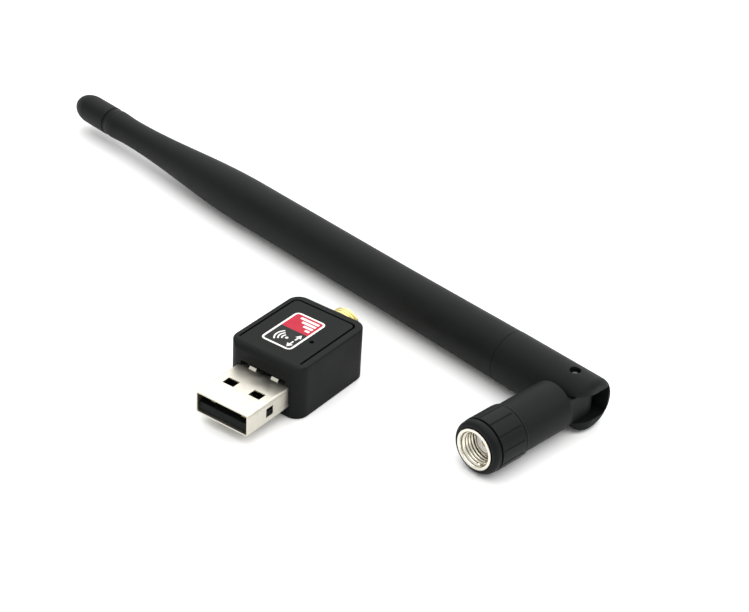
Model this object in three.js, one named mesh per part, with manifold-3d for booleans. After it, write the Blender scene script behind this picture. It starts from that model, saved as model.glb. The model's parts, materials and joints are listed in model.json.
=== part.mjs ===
// USB wifi adapter: a small plug-in radio with its detachable hinged antenna lying beside it.
// Millimetres, +Z up. The antenna mast lies along X with its tip at -X, the folded elbow of the
// antenna points to -Y, and the adapter stands next to it on the same surface, turned a little.
// The origin is the middle of the footprint, on the surface that both of them rest on.
import * as THREE from 'three';
import { mergeVertices } from 'three/addons/utils/BufferGeometryUtils.js';
import Module from 'manifold-3d';

const wasm = await Module();
wasm.setup();

// ---------------------------------------------------------------- driving dimensions

// Clearances and facets
const SLIP = 0.15; // radial, between round pieces that fit in one another
const GAP = 0.3; // flat, between neighbouring pieces of the turned adapter
const SEAT = 0.15; // flat, under the small components that are soldered to the board
const SIDES = 36; // facets of the large round pieces
const SMALL_SIDES = 20; // facets of pins, wires and bores

// Place of the adapter beside the antenna, from the hinge pin to the middle of its front wall
const ADAPTER_X = -38.8;
const ADAPTER_Y = -41.05;
const ADAPTER_TURN = 9.8; // degrees about Z

// Adapter housing
const HOUSING_W = 17;
const HOUSING_L = 20.4;
const HOUSING_H = 11.1;
const CORNER_R = 2.6;
const TOP_EDGE_R = 0.35;
const WALL = 1.2; // floor, front wall and rear wall
const RIM = 1.05; // side walls
const LID_T = 1.2;
const LID_X = -0.17; // the lid sits a little to the left
const LID_RIM = 1.2; // rim that shows beside the lid
const LID_FRONT_R = 1.5; // rounding where the lid runs out over the front wall
const LID_GROOVE = 0.45;
const LID_CORNER_R = 0.9;
const LID_REAR_RIM = 1.48;
const RAIL = 1; // side rails that carry the lid and centre the board
const LEDGE = 0.8; // lower step of the rails, under the edges of the board

// Printed badge in a shallow pocket of the lid, and the lamp hole beside it
const BADGE_W = 7;
const BADGE_X = -0.8;
const BADGE_FRONT = 4.2; // behind the front edge of the lid
const BADGE_REAR = 3.1; // in front of its rear edge
const BADGE_R = 1;
const BADGE_T = 0.12;
const LAMP_X = 4;
const LAMP_Y = 9;
const LAMP_R = 0.4;

// USB type A plug
const PLUG_W = 12;
const PLUG_H = 4.5;
const PLUG_SHEET = 0.3;
const PLUG_OUT = 11.4; // length in front of the housing
const PLUG_IN = 4.6; // length inside the housing
const PLUG_Z = 2.1; // underside of the plug above the table
const WINDOW_W = 2.5;
const WINDOW_L = 1.9;
const WINDOW_X = 3;
const WINDOW_FROM_MOUTH = 5.2;
const SIDE_WINDOW_H = 1.9;
const LANCE_W = 1.6;
const LANCE_L = 0.7;
const LANCE_FOOT = 0.1; // its foot stands this far in front of the housing
const LANCE_CREST = 0.2;
const LANCE_H = 0.5;
const LANCE_X = 2.55;
const LANCE_POCKET_W = 10.4; // pocket in the front wall over the lances
const LANCE_POCKET_H = 1.1;
const TONGUE_T = 1.6;
const TONGUE_SETBACK = 0.5;
const BLOCK_FRONT = 2.4; // the insulator is full height from here back, before the front wall
const CONTACT_X = [-3.5, -1, 1, 3.5];
const CONTACT_W = 1;
const CONTACT_T = 0.25;
const CONTACT_SETBACK = [1.8, 2.8, 2.8, 1.8];
const CONTACT_TAIL = 1.5; // over the board

// Circuit board and what is soldered to it
const BOARD_T = 0.8;
const RADIO_CHIP = [5, 5, 0.9];
const RADIO_CHIP_X = -3.6;
const CRYSTAL = [2.5, 3.2, 0.8];
const CRYSTAL_X = 4.8;
const REGULATOR = [1.6, 2.9, 1.1];
const REGULATOR_X = 2.6;
const CAPACITOR = [0.5, 1, 0.5];
const CAPACITOR_PITCH = 1.5;
const CAPACITOR_ROW = 2.4; // behind the front edge of the board
const LAMP = [1.6, 0.8, 0.6];
const CHIP_SPACING = 0.6; // free board between one row of components and the next

// Antenna socket of the adapter
const SOCKET_X = -0.3;
const SOCKET_Z = 5.5;
const THREAD_R = 3.175;
const THREAD_DEPTH = 0.4;
const THREAD_PITCH = 0.7056;
const SOCKET_OUT = 5.6;
const SOCKET_FLANGE_R = 3.8;
const SOCKET_FLANGE_T = 1.6;
const SOCKET_BORE_R = 2.3;
const SOCKET_BORE_DEPTH = 2;
const SOCKET_CORE_R = 2; // bore that holds the insulator
const SOCKET_PIN_R = 0.45;
const SOCKET_PIN_TAIL = 2.2; // over the board

// Antenna mast, measured from the hinge pin towards the tip
const TIP = 151.6;
const SEAM = 15.6;
const MAST_R = 5;
const MAST_SWELL = 0.25; // extra radius at the seam, gone after the swell length
const SWELL_LENGTH = 30;
const NECK_R = 3.07;
const TIP_R = 3.27;
const SHEATH_WALL = 0.9;
const CAP_LENGTH = 12.4;
const CAP_GROOVE = 2;
const CAP_GROOVE_DEPTH = 0.15;
const CAP_DOME = 5;
const CAP_SPIGOT = 8;
const NECK_LENGTH = 19.8; // from the end of the taper to the tip
const TAPER_LENGTH = 41.5;
const SPIGOT_LENGTH = 8.5;

// Knuckle: a fork at the end of the mast, open towards -Y and +X
const KNUCKLE_R = 5.3;
const CHEEK = 2.4; // thickness of the two cheeks at the crown
const BACK_WALL = 1.4;
const FORK_END = 5.3; // beyond the pin
const PIN_R = 1;
const PIN_RECESS = 0.55;

// Elbow, measured from the hinge pin along the plug
const BASE_R = 4.85;
const BASE_LENGTH = 11.8;
const BASE_EDGE = 0.35;
const SLIT = 2.4; // slot across the eye that lets the coax through
const SLIT_DEPTH = 2.2;
const COAX_R = 0.65;
const COAX_START = 0.9; // each half of the coax stops this far from the pin

// Screw plug at the end of the elbow
const PLUG_GAP = 0.3; // running gap between elbow and grip
const GRIP_LENGTH = 8.45;
const GRIP_R = 5.2;
const GRIP_FLATS = 12;
const GRIP_GROOVE = 0.22;
const GRIP_FLANGE = 0.45;
const GRIP_COLLAR = 1.5;
const COLLAR_GROOVE = 0.35; // ring groove behind the collar
const COLLAR_GROOVE_R = 4.75;
const COLLAR_TIP_R = 4.6;
const RIM_OUT = 0.3; // metal rim in front of the grip
const NUT_R = 3.95;
const NUT_MOUTH_R = 3.45;
const NUT_MOUTH = 0.35;
const NUT_WALL = 1.4;
const NUT_RELIEF_R = 3.3;
const NUT_THREAD_LENGTH = 4.4;
const NUT_SETBACK = 0.35; // rear of the nut inside the grip
const BODY_R = 2.75;
const BODY_INSERT = 6;
const BODY_NECK_R = 2;
const BODY_FLANGE_T = 0.7;
const PLUG_CORE_R = 1.4; // bore of the neck
const BARREL_R = 2.28;
const BARREL_WALL = 0.22;
const BARREL_RECESS = 2.7;
const RING_T = 0.6;
const RING_R = 3;
const RING_OPENING = 50; // degrees
const GASKET_T = 0.6;
const CONTACT_R = 0.6;
const CONTACT_BORE_R = 0.47;

// Radiator inside the mast
const ROD_LENGTH = 29;
const ROD_R = 0.45;
const COIL_R = 1.35;
const COIL_TURNS = 4;
const SLEEVE_R = 2.2;
const SLEEVE_WALL = 0.35;
const SLEEVE_LENGTH = 30;
const FERRULE_LENGTH = 3;
const BEAD_LENGTH = 6;
const BEAD_STEP = 24;
const BEAD_COUNT = 2;

// ---------------------------------------------------------------- sizes that follow

const innerX = HOUSING_W / 2 - RIM;
const lidZ = HOUSING_H - LID_T;
const lidHalf = HOUSING_W / 2 - LID_RIM;
const rearWallY = HOUSING_L - WALL;
const boardFront = PLUG_IN + GAP;
const boardRear = rearWallY - GAP - SOCKET_FLANGE_T - GAP;
const boardHalf = innerX - RAIL - GAP;
const boardTop = SOCKET_Z - SOCKET_PIN_R - 0.25;
const capacitorY = boardFront + CAPACITOR_ROW;
const radioChipY = capacitorY + CAPACITOR[1] / 2 + CHIP_SPACING + RADIO_CHIP[1] / 2;
const besideLampY = LAMP_Y + LAMP[1] / 2 + CHIP_SPACING + CRYSTAL[1] / 2;
const lidRear = HOUSING_L - LID_REAR_RIM - LID_GROOVE;

const restZ = Math.max(KNUCKLE_R, MAST_R + MAST_SWELL, GRIP_R);
const sheathEnd = TIP - CAP_LENGTH - CAP_GROOVE;
const taperEnd = TIP - NECK_LENGTH;
const taperStart = taperEnd - TAPER_LENGTH;
const flareStart = taperEnd + 1;
const flareEnd = sheathEnd - 0.4;
const slotHalf = KNUCKLE_R - CHEEK;
const eyeHalf = slotHalf - GAP;
const slotBackY = KNUCKLE_R - BACK_WALL;
const eyeR = slotBackY - GAP;

const shoulder = KNUCKLE_R + SLIP;
const baseEnd = shoulder + BASE_LENGTH;
const gripStart = baseEnd + PLUG_GAP;
const gripEnd = gripStart + GRIP_LENGTH;
const nutFront = gripEnd + RIM_OUT;
const nutBack = gripStart + NUT_SETBACK;
const bodyStart = baseEnd - BODY_INSERT;
const ringStart = nutBack + NUT_WALL + SLIP;
const flangeStart = ringStart + RING_T + SLIP;
const flangeEnd = flangeStart + BODY_FLANGE_T;
const barrelFront = nutFront - BARREL_RECESS;
const nutThreadStart = nutFront - NUT_THREAD_LENGTH;
const plugCoreStart = baseEnd + 1;
const coreStart = flangeStart + BODY_FLANGE_T / 2;

const rodEnd = sheathEnd - CAP_SPIGOT - 1;
const rodStart = rodEnd - ROD_LENGTH;
const coaxEnd = rodStart;
const sleeveStart = coaxEnd - SLEEVE_LENGTH;
const ferruleStart = sleeveStart + 0.5;
const beadR = MAST_R - SHEATH_WALL - SLIP;

// ---------------------------------------------------------------- materials

const finish = (color, roughness, metalness = 0) =>
  new THREE.MeshStandardMaterial({ color, roughness, metalness });

const housingPlastic = finish(0x262828, 0.55);
const mastPlastic = finish(0x1f2121, 0.6);
const gripPlastic = finish(0x1b1c1e, 0.5);
const nickel = finish(0xd9d3c2, 0.25, 1);
const satinNickel = finish(0xdcd6c6, 0.45, 1);
const gold = finish(0xd9a93a, 0.28, 1);
const brass = finish(0xb08d4c, 0.35, 1);
const copper = finish(0xb86b42, 0.35, 1);
const steel = finish(0x8e9092, 0.35, 1);
const darkSteel = finish(0x2c2c2d, 0.3, 1);
const whiteResin = finish(0xe4e2da, 0.6);
const blackResin = finish(0x15191a, 0.4);
const boardGreen = finish(0x1f5a3a, 0.5);
const chipBlack = finish(0x202224, 0.5);
const ceramic = finish(0xb89a72, 0.5);
const lampLens = finish(0xcfe3d2, 0.3);
const badgePrint = finish(0xb4222f, 0.4);
const cableJacket = finish(0x5a4030, 0.45);
const foam = finish(0xc9cbc6, 0.9);
const rubber = finish(0xa83a2c, 0.7);

// ---------------------------------------------------------------- solids

// Joins shared vertices, drops empty triangles and turns the faces outwards.
function weld(geometry) {
  const bare = geometry.index ? geometry.toNonIndexed() : geometry.clone();
  bare.deleteAttribute('normal');
  bare.deleteAttribute('uv');
  const merged = mergeVertices(bare, 1e-5);
  const position = merged.getAttribute('position');
  const index = merged.index.array;
  const kept = [];
  let volume = 0;
  const a = new THREE.Vector3();
  const b = new THREE.Vector3();
  const c = new THREE.Vector3();
  for (let i = 0; i < index.length; i += 3) {
    const [p, q, r] = [index[i], index[i + 1], index[i + 2]];
    if (p === q || q === r || r === p) continue;
    kept.push(p, q, r);
    a.fromBufferAttribute(position, p);
    b.fromBufferAttribute(position, q);
    c.fromBufferAttribute(position, r);
    volume += a.dot(b.cross(c));
  }
  if (volume < 0) kept.reverse();
  merged.setIndex(kept);
  return merged;
}

function toSolid(geometry) {
  const welded = weld(geometry);
  return new wasm.Manifold(new wasm.Mesh({
    numProp: 3,
    vertProperties: new Float32Array(welded.getAttribute('position').array),
    triVerts: new Uint32Array(welded.index.array),
  }));
}

function fromSolid(solid) {
  const mesh = solid.getMesh();
  const geometry = new THREE.BufferGeometry();
  geometry.setAttribute('position', new THREE.BufferAttribute(new Float32Array(mesh.vertProperties), 3));
  geometry.setIndex(new THREE.BufferAttribute(new Uint32Array(mesh.triVerts), 1));
  return geometry;
}

function join(...geometries) {
  return fromSolid(geometries.map(toSolid).reduce((whole, next) => whole.add(next)));
}

function cut(geometry, ...tools) {
  return fromSolid(tools.map(toSolid).reduce((whole, tool) => whole.subtract(tool), toSolid(geometry)));
}

function common(a, b) {
  return fromSolid(toSolid(a).intersect(toSolid(b)));
}

// A block given by its lowest and highest corners.
function block(x0, x1, y0, y1, z0, z1) {
  return new THREE.BoxGeometry(x1 - x0, y1 - y0, z1 - z0)
    .translate((x0 + x1) / 2, (y0 + y1) / 2, (z0 + z1) / 2);
}

// A component of size [x, y, z] that stands on height z0 with its middle at x, y.
function component([w, l, h], x, y, z0) {
  return block(x - w / 2, x + w / 2, y - l / 2, y + l / 2, z0, z0 + h);
}

// A rounded rectangle; the rear corners and the front corners have radii of their own.
function roundedOutline(x0, x1, y0, y1, frontR, rearR = frontR) {
  const outline = new THREE.Shape();
  outline.moveTo(x0 + frontR, y0);
  outline.lineTo(x1 - frontR, y0);
  if (frontR > 0) outline.absarc(x1 - frontR, y0 + frontR, frontR, -Math.PI / 2, 0);
  outline.lineTo(x1, y1 - rearR);
  if (rearR > 0) outline.absarc(x1 - rearR, y1 - rearR, rearR, 0, Math.PI / 2);
  outline.lineTo(x0 + rearR, y1);
  if (rearR > 0) outline.absarc(x0 + rearR, y1 - rearR, rearR, Math.PI / 2, Math.PI);
  outline.lineTo(x0, y0 + frontR);
  if (frontR > 0) outline.absarc(x0 + frontR, y0 + frontR, frontR, Math.PI, Math.PI * 1.5);
  return outline;
}

function slab(outline, z0, z1, curveSegments = 6) {
  return new THREE.ExtrudeGeometry(outline, { depth: z1 - z0, bevelEnabled: false, curveSegments })
    .translate(0, 0, z0);
}

// Solids of revolution from a closed profile of [distance, radius] pairs, measured from the pin.
function revolve(profile, sides) {
  const points = profile.map(([distance, radius]) => new THREE.Vector2(radius, distance));
  points.push(points[0].clone());
  return new THREE.LatheGeometry(points, sides);
}
const alongMast = (profile, sides = SIDES) => revolve(profile, sides).rotateZ(Math.PI / 2);
const alongElbow = (profile, sides = SIDES) => revolve(profile, sides).rotateX(Math.PI);
const tube = (start, end, inner, outer) => [[start, inner], [start, outer], [end, outer], [end, inner]];
const rod = (start, end, radius) => tube(start, end, 0, radius);

// An upright round bar around the hinge axis.
function upright(z0, z1, radius, sides = SMALL_SIDES) {
  return new THREE.CylinderGeometry(radius, radius, z1 - z0, sides)
    .rotateX(Math.PI / 2)
    .translate(0, 0, (z0 + z1) / 2);
}

// V-shaped rings that stand for a screw thread, from start to end, crest and root given.
function threadProfile(start, end, crest, root) {
  const turns = Math.floor((end - start) / THREAD_PITCH);
  const points = [];
  for (let turn = 0; turn < turns; turn += 1) {
    points.push([start + turn * THREAD_PITCH, crest]);
    points.push([start + (turn + 0.5) * THREAD_PITCH, root]);
  }
  points.push([start + turns * THREAD_PITCH, crest]);
  return points;
}

// ---------------------------------------------------------------- adapter

const housingOutline = roundedOutline(-HOUSING_W / 2, HOUSING_W / 2, 0, HOUSING_L, CORNER_R);

// Tub of the housing: floor, front wall up to the lid, side and rear walls up to the top edge.
function housingShell() {
  const crown = roundedOutline(
    TOP_EDGE_R - HOUSING_W / 2, HOUSING_W / 2 - TOP_EDGE_R, TOP_EDGE_R, HOUSING_L - TOP_EDGE_R,
    CORNER_R - TOP_EDGE_R,
  );
  const body = slab(housingOutline, 0, HOUSING_H - TOP_EDGE_R);
  const edge = new THREE.ExtrudeGeometry(crown, {
    depth: TOP_EDGE_R,
    bevelThickness: TOP_EDGE_R,
    bevelSize: TOP_EDGE_R,
    bevelSegments: 3,
    curveSegments: 6,
  }).translate(0, 0, HOUSING_H - 2 * TOP_EDGE_R);
  const cavity = slab(roundedOutline(-innerX, innerX, WALL, rearWallY, CORNER_R - RIM), WALL, lidZ + 0.01);
  const lidOpening = slab(
    roundedOutline(
      LID_X - lidHalf, LID_X + lidHalf, -1, HOUSING_L - LID_REAR_RIM, 0, LID_CORNER_R + LID_GROOVE,
    ),
    lidZ - GAP, HOUSING_H + 1,
  );
  const plugOpening = block(
    -PLUG_W / 2 - GAP, PLUG_W / 2 + GAP, -1, WALL + 1, PLUG_Z - GAP, PLUG_Z + PLUG_H + GAP,
  );
  const lancePocket = block(
    -LANCE_POCKET_W / 2, LANCE_POCKET_W / 2, -1, WALL + 1,
    PLUG_Z + PLUG_H, PLUG_Z + PLUG_H + LANCE_POCKET_H,
  );
  const socketHole = new THREE.CylinderGeometry(THREAD_R + SLIP, THREAD_R + SLIP, 3 * WALL, SIDES)
    .translate(SOCKET_X, HOUSING_L - WALL / 2, SOCKET_Z);
  const tub = cut(join(body, edge), cavity, lidOpening, plugOpening, lancePocket, socketHole);
  const rails = [-1, 1].flatMap((side) => {
    const rail = [side * (innerX + 0.2), side * (innerX - RAIL)].sort((p, q) => p - q);
    const ledge = [side * (innerX + 0.2), side * (innerX - RAIL - LEDGE)].sort((p, q) => p - q);
    return [
      block(...rail, boardFront, boardRear, WALL - 0.2, lidZ - GAP),
      block(...ledge, boardFront, boardRear, WALL - 0.2, boardTop - BOARD_T - SEAT),
    ];
  });
  return join(tub, ...rails);
}

// Lid: flush plate that runs out over the front wall, with the badge pocket and the lamp hole.
function housingLid() {
  const half = lidHalf - LID_GROOVE;
  const opening = slab(
    roundedOutline(LID_X - half, LID_X + half, 0, lidRear, 0, LID_CORNER_R), lidZ, HOUSING_H,
  );
  const plate = common(opening, slab(housingOutline, lidZ - 1, HOUSING_H + 1));
  const roundFront = new THREE.CylinderGeometry(LID_FRONT_R, LID_FRONT_R, HOUSING_W, SMALL_SIDES)
    .rotateZ(Math.PI / 2)
    .translate(0, LID_FRONT_R, HOUSING_H - LID_FRONT_R);
  const frontEdge = block(-HOUSING_W, HOUSING_W, -1, LID_FRONT_R, HOUSING_H - LID_FRONT_R, HOUSING_H + 1);
  const pocket = slab(badgeOutline(GAP / 2), HOUSING_H - BADGE_T - GAP, HOUSING_H + 1);
  const lampHole = upright(lidZ - 1, HOUSING_H + 1, LAMP_R).translate(LAMP_X, LAMP_Y, 0);
  return cut(plate, cut(frontEdge, roundFront), pocket, lampHole);
}

function badgeOutline(margin) {
  return roundedOutline(
    BADGE_X - BADGE_W / 2 - margin, BADGE_X + BADGE_W / 2 + margin,
    BADGE_FRONT - margin, lidRear - BADGE_REAR + margin, BADGE_R + margin,
  );
}

// Lance: a tab bent up from the sheet, drawn in its side view; its slope faces the mouth.
function lance(sheetTop) {
  const rear = LANCE_L - LANCE_FOOT;
  const side = new THREE.Shape([
    new THREE.Vector2(-LANCE_FOOT, sheetTop - PLUG_SHEET / 2),
    new THREE.Vector2(rear, sheetTop - PLUG_SHEET / 2),
    new THREE.Vector2(rear, sheetTop + LANCE_H),
    new THREE.Vector2(rear - LANCE_CREST, sheetTop + LANCE_H),
    new THREE.Vector2(-LANCE_FOOT, sheetTop),
  ]);
  return new THREE.ExtrudeGeometry(side, { depth: LANCE_W, bevelEnabled: false })
    .rotateZ(Math.PI / 2)
    .rotateY(Math.PI / 2);
}

// Folded sheet-metal sleeve of the plug, with its latch windows and the two lances at the housing.
function usbShell() {
  const [half, z0, z1] = [PLUG_W / 2, PLUG_Z, PLUG_Z + PLUG_H];
  const tubeOut = block(-half, half, -PLUG_OUT, PLUG_IN, z0, z1);
  const tubeIn = block(
    -half + PLUG_SHEET, half - PLUG_SHEET, -PLUG_OUT - 1, PLUG_IN + 1, z0 + PLUG_SHEET, z1 - PLUG_SHEET,
  );
  const windowY = -PLUG_OUT + WINDOW_FROM_MOUTH;
  const windows = [-WINDOW_X, WINDOW_X].map((x) =>
    block(x - WINDOW_W / 2, x + WINDOW_W / 2, windowY, windowY + WINDOW_L, z0 - 1, z1 + 1));
  const middleZ = (z0 + z1) / 2;
  const sideWindow = block(
    -half - 1, half + 1, windowY, windowY + WINDOW_L,
    middleZ - SIDE_WINDOW_H / 2, middleZ + SIDE_WINDOW_H / 2,
  );
  const lances = [-LANCE_X, LANCE_X].map((x) => lance(z1).translate(x - LANCE_W / 2, 0, 0));
  return join(cut(tubeOut, tubeIn, ...windows, sideWindow), ...lances);
}

const tongueZ = PLUG_Z + PLUG_SHEET + GAP;
const tongueTop = tongueZ + TONGUE_T;

// Insulator: thin tongue in the mouth, full block behind it, slots for the four contacts.
function usbInsulator() {
  const half = PLUG_W / 2 - PLUG_SHEET - GAP;
  const tongue = block(-half, half, -PLUG_OUT + TONGUE_SETBACK, PLUG_IN - GAP, tongueZ, tongueTop);
  const back = block(
    -half, half, -BLOCK_FRONT, PLUG_IN - GAP, tongueZ, PLUG_Z + PLUG_H - PLUG_SHEET - GAP,
  );
  const slots = CONTACT_X.map((x) => block(
    x - CONTACT_W / 2 - GAP, x + CONTACT_W / 2 + GAP, -BLOCK_FRONT - 1, PLUG_IN + 1,
    tongueTop, boardTop + SEAT + CONTACT_T + GAP,
  ));
  return cut(join(tongue, back), ...slots);
}

// Contact strip: flat on the tongue, stepping up to its tail on the board.
function usbContact(x, setback) {
  const low = tongueTop + SEAT;
  const high = boardTop + SEAT;
  const stepStart = 0.5;
  const stepEnd = 2.5;
  const tailEnd = boardFront + CONTACT_TAIL;
  const side = new THREE.Shape();
  side.moveTo(-PLUG_OUT + setback, low);
  side.lineTo(stepStart, low);
  side.lineTo(stepEnd, high);
  side.lineTo(tailEnd, high);
  side.lineTo(tailEnd, high + CONTACT_T);
  side.lineTo(stepEnd, high + CONTACT_T);
  side.lineTo(stepStart, low + CONTACT_T);
  side.lineTo(-PLUG_OUT + setback, low + CONTACT_T);
  // The outline is drawn in Y and Z, then stood up so that its thickness runs along X.
  return new THREE.ExtrudeGeometry(side, { depth: CONTACT_W, bevelEnabled: false })
    .rotateY(Math.PI / 2)
    .rotateX(Math.PI / 2)
    .translate(x - CONTACT_W / 2, 0, 0);
}

// Pieces of the antenna socket turn about an axis along Y, with distances from the rear wall face.
function alongSocket(profile, sides) {
  return revolve(profile, sides).translate(SOCKET_X, HOUSING_L, SOCKET_Z);
}

const socketBack = -WALL - GAP - SOCKET_FLANGE_T;

function antennaSocket() {
  const flangeFront = -WALL - GAP;
  const thread = threadProfile(0.5, SOCKET_OUT - 0.3, THREAD_R, THREAD_R - THREAD_DEPTH);
  return alongSocket([
    [socketBack, SOCKET_CORE_R],
    [socketBack, SOCKET_FLANGE_R],
    [flangeFront, SOCKET_FLANGE_R],
    [flangeFront, THREAD_R - SLIP],
    [0.4, THREAD_R - SLIP],
    ...thread,
    [SOCKET_OUT, THREAD_R - THREAD_DEPTH],
    [SOCKET_OUT, SOCKET_BORE_R],
    [SOCKET_OUT - SOCKET_BORE_DEPTH, SOCKET_BORE_R],
    [SOCKET_OUT - SOCKET_BORE_DEPTH, SOCKET_CORE_R],
  ], 28);
}

function socketInsulator() {
  return alongSocket(tube(
    socketBack, SOCKET_OUT - SOCKET_BORE_DEPTH, SOCKET_PIN_R + SLIP, SOCKET_CORE_R - SLIP,
  ), SMALL_SIDES);
}

function socketPin() {
  return alongSocket(
    rod(socketBack - GAP - SOCKET_PIN_TAIL, SOCKET_OUT - 0.5, SOCKET_PIN_R), SMALL_SIDES,
  );
}

// ---------------------------------------------------------------- antenna mast

// Outer radius of the mast: a faint swell at the seam, then straight, then a smooth taper to the
// neck and a slight flare.
function mastRadius(distance) {
  const t = THREE.MathUtils.clamp((distance - taperStart) / (taperEnd - taperStart), 0, 1);
  const flare = THREE.MathUtils.smoothstep(distance, flareStart, flareEnd);
  const swell = MAST_SWELL * (1 - THREE.MathUtils.clamp((distance - SEAM) / SWELL_LENGTH, 0, 1));
  const taper = NECK_R + (MAST_R - NECK_R) * (0.5 + 0.5 * Math.cos(Math.PI * t));
  return taper + swell + (TIP_R - NECK_R) * flare;
}

function mastSheath() {
  const stations = (steps) => {
    const taper = Array.from({ length: steps + 1 }, (_, i) => taperStart + TAPER_LENGTH * i / steps);
    return [SEAM, SEAM + SWELL_LENGTH, ...taper, flareStart, flareEnd, sheathEnd];
  };
  const outside = stations(9).map((distance) => [distance, mastRadius(distance)]);
  const inside = stations(3).map((distance) => [distance, mastRadius(distance) - SHEATH_WALL]);
  return alongMast([...outside, ...inside.reverse()]);
}

// Tip cap: spigot in the sheath, ring groove, head with an elliptical dome.
function tipCap() {
  const spigotR = NECK_R - SHEATH_WALL - SLIP;
  const headStart = sheathEnd + CAP_GROOVE;
  const profile = [
    [sheathEnd - CAP_SPIGOT, 0],
    [sheathEnd - CAP_SPIGOT, spigotR],
    [sheathEnd, spigotR],
    [sheathEnd, TIP_R - CAP_GROOVE_DEPTH],
    [headStart, TIP_R - CAP_GROOVE_DEPTH],
    [headStart, TIP_R],
  ];
  const steps = 7;
  for (let i = 0; i < steps; i += 1) {
    const angle = Math.PI / 2 * i / steps;
    profile.push([TIP - CAP_DOME + CAP_DOME * Math.sin(angle), TIP_R * Math.cos(angle)]);
  }
  profile.push([TIP, 0]);
  return alongMast(profile);
}

// Knuckle: turned body with its spigot, slotted for the elbow and drilled for the pins and the coax.
function knuckleFork() {
  const spigotR = mastRadius(SEAM + SPIGOT_LENGTH) - SHEATH_WALL - SLIP;
  const chamfer = 0.4;
  const body = alongMast([
    [-FORK_END, 0],
    [-FORK_END, KNUCKLE_R - chamfer],
    [-FORK_END + chamfer, KNUCKLE_R],
    [SEAM - 0.3, KNUCKLE_R],
    [SEAM, KNUCKLE_R - 0.3],
    [SEAM, spigotR],
    [SEAM + SPIGOT_LENGTH, spigotR],
    [SEAM + SPIGOT_LENGTH, 0],
  ]);
  const far = 4 * KNUCKLE_R;
  const slot = block(-slotBackY, far, -far, slotBackY, -slotHalf, slotHalf);
  // Plan of the cheeks: everything beyond the corner circle about the pin is cut away at +X, -Y.
  const corner = cut(block(0, far, -far, 0, -far, far), upright(-far, far, FORK_END, SIDES));
  const pinHole = upright(-far, far, PIN_R + 0.1);
  const coaxHole = alongMast(rod(0, SEAM + SPIGOT_LENGTH + 1, COAX_R + 0.35), SMALL_SIDES);
  return cut(body, slot, corner, pinHole, coaxHole);
}

function hingePin(side) {
  const inner = SLIT / 2 + 0.2;
  const outer = KNUCKLE_R - PIN_RECESS;
  return side > 0 ? upright(inner, outer, PIN_R) : upright(-outer, -inner, PIN_R);
}

// Upper radiator: one bent wire, straight at both ends with a few turns of coil between.
class RadiatorWire extends THREE.Curve {
  getPoint(t, target = new THREE.Vector3()) {
    const inCoil = THREE.MathUtils.clamp((t - 0.35) / 0.3, 0, 1);
    const swell = THREE.MathUtils.smoothstep(t, 0.3, 0.38) - THREE.MathUtils.smoothstep(t, 0.62, 0.7);
    const turn = 2 * Math.PI * COIL_TURNS * inCoil;
    return target.set(
      -(rodStart + ROD_LENGTH * t), COIL_R * swell * Math.cos(turn), COIL_R * swell * Math.sin(turn),
    );
  }
}

function radiatorRod() {
  const section = new THREE.Shape();
  section.absarc(0, 0, ROD_R, 0, 2 * Math.PI);
  return new THREE.ExtrudeGeometry(section, {
    extrudePath: new RadiatorWire(),
    steps: 72,
    curveSegments: 3,
    bevelEnabled: false,
  });
}

// ---------------------------------------------------------------- elbow and screw plug

// Elbow: round base with a flat tongue whose eye turns on the pins. The slit for the coax is open
// at the end and on the side the elbow folds towards, and closed on the outer side.
function elbowBase() {
  const body = alongElbow([
    [shoulder, 0],
    [shoulder, BASE_R - BASE_EDGE],
    [shoulder + BASE_EDGE, BASE_R],
    [baseEnd - 0.2, BASE_R],
    [baseEnd, BASE_R - 0.2],
    [baseEnd, 0],
  ]);
  const tongue = block(-eyeR, eyeR, -shoulder - 1, 0, -eyeHalf, eyeHalf);
  const eye = upright(-eyeHalf, eyeHalf, eyeR, SIDES);
  const far = 4 * BASE_R;
  const slit = block(-far, SLIT / 2, -SLIT_DEPTH, far, -SLIT / 2, SLIT / 2);
  const coaxBore = alongElbow(rod(0, bodyStart + 1, COAX_R + 0.35), SMALL_SIDES);
  const bodyBore = alongElbow(rod(bodyStart, baseEnd + 1, BODY_R + SLIP), SIDES);
  const pinHole = upright(-far, far, PIN_R + 0.1);
  return cut(join(body, tongue, eye), slit, coaxBore, bodyBore, pinHole);
}

// Plug body: shank in the elbow, neck through the nut, flange that pulls home, front barrel.
function plugBody() {
  const core = BARREL_R - BARREL_WALL;
  return alongElbow([
    [bodyStart, COAX_R + SLIP],
    [bodyStart, BODY_R],
    [baseEnd, BODY_R],
    [baseEnd, BODY_NECK_R],
    [flangeStart, BODY_NECK_R],
    [flangeStart, BODY_R],
    [flangeEnd, BODY_R],
    [flangeEnd, BARREL_R],
    [barrelFront, BARREL_R],
    [barrelFront, core],
    [coreStart, core],
    [coreStart, PLUG_CORE_R],
    [plugCoreStart, PLUG_CORE_R],
    [plugCoreStart, COAX_R + SLIP],
  ]);
}

function plugInsulator() {
  const hole = CONTACT_R + SLIP;
  return alongElbow([
    [plugCoreStart + SLIP, hole],
    [plugCoreStart + SLIP, PLUG_CORE_R - SLIP],
    [coreStart + SLIP, PLUG_CORE_R - SLIP],
    [coreStart + SLIP, BARREL_R - BARREL_WALL - SLIP],
    [barrelFront - 0.2, BARREL_R - BARREL_WALL - SLIP],
    [barrelFront - 0.2, hole],
  ], 32);
}

// Centre contact: a socket that takes the pin of the adapter.
function plugContact() {
  const front = barrelFront - 0.35;
  const boreDepth = 3;
  return alongElbow([
    [plugCoreStart + SLIP, 0],
    [plugCoreStart + SLIP, CONTACT_R],
    [front, CONTACT_R],
    [front, CONTACT_BORE_R],
    [front - boreDepth, CONTACT_BORE_R],
    [front - boreDepth, 0],
  ], SMALL_SIDES);
}

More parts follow.
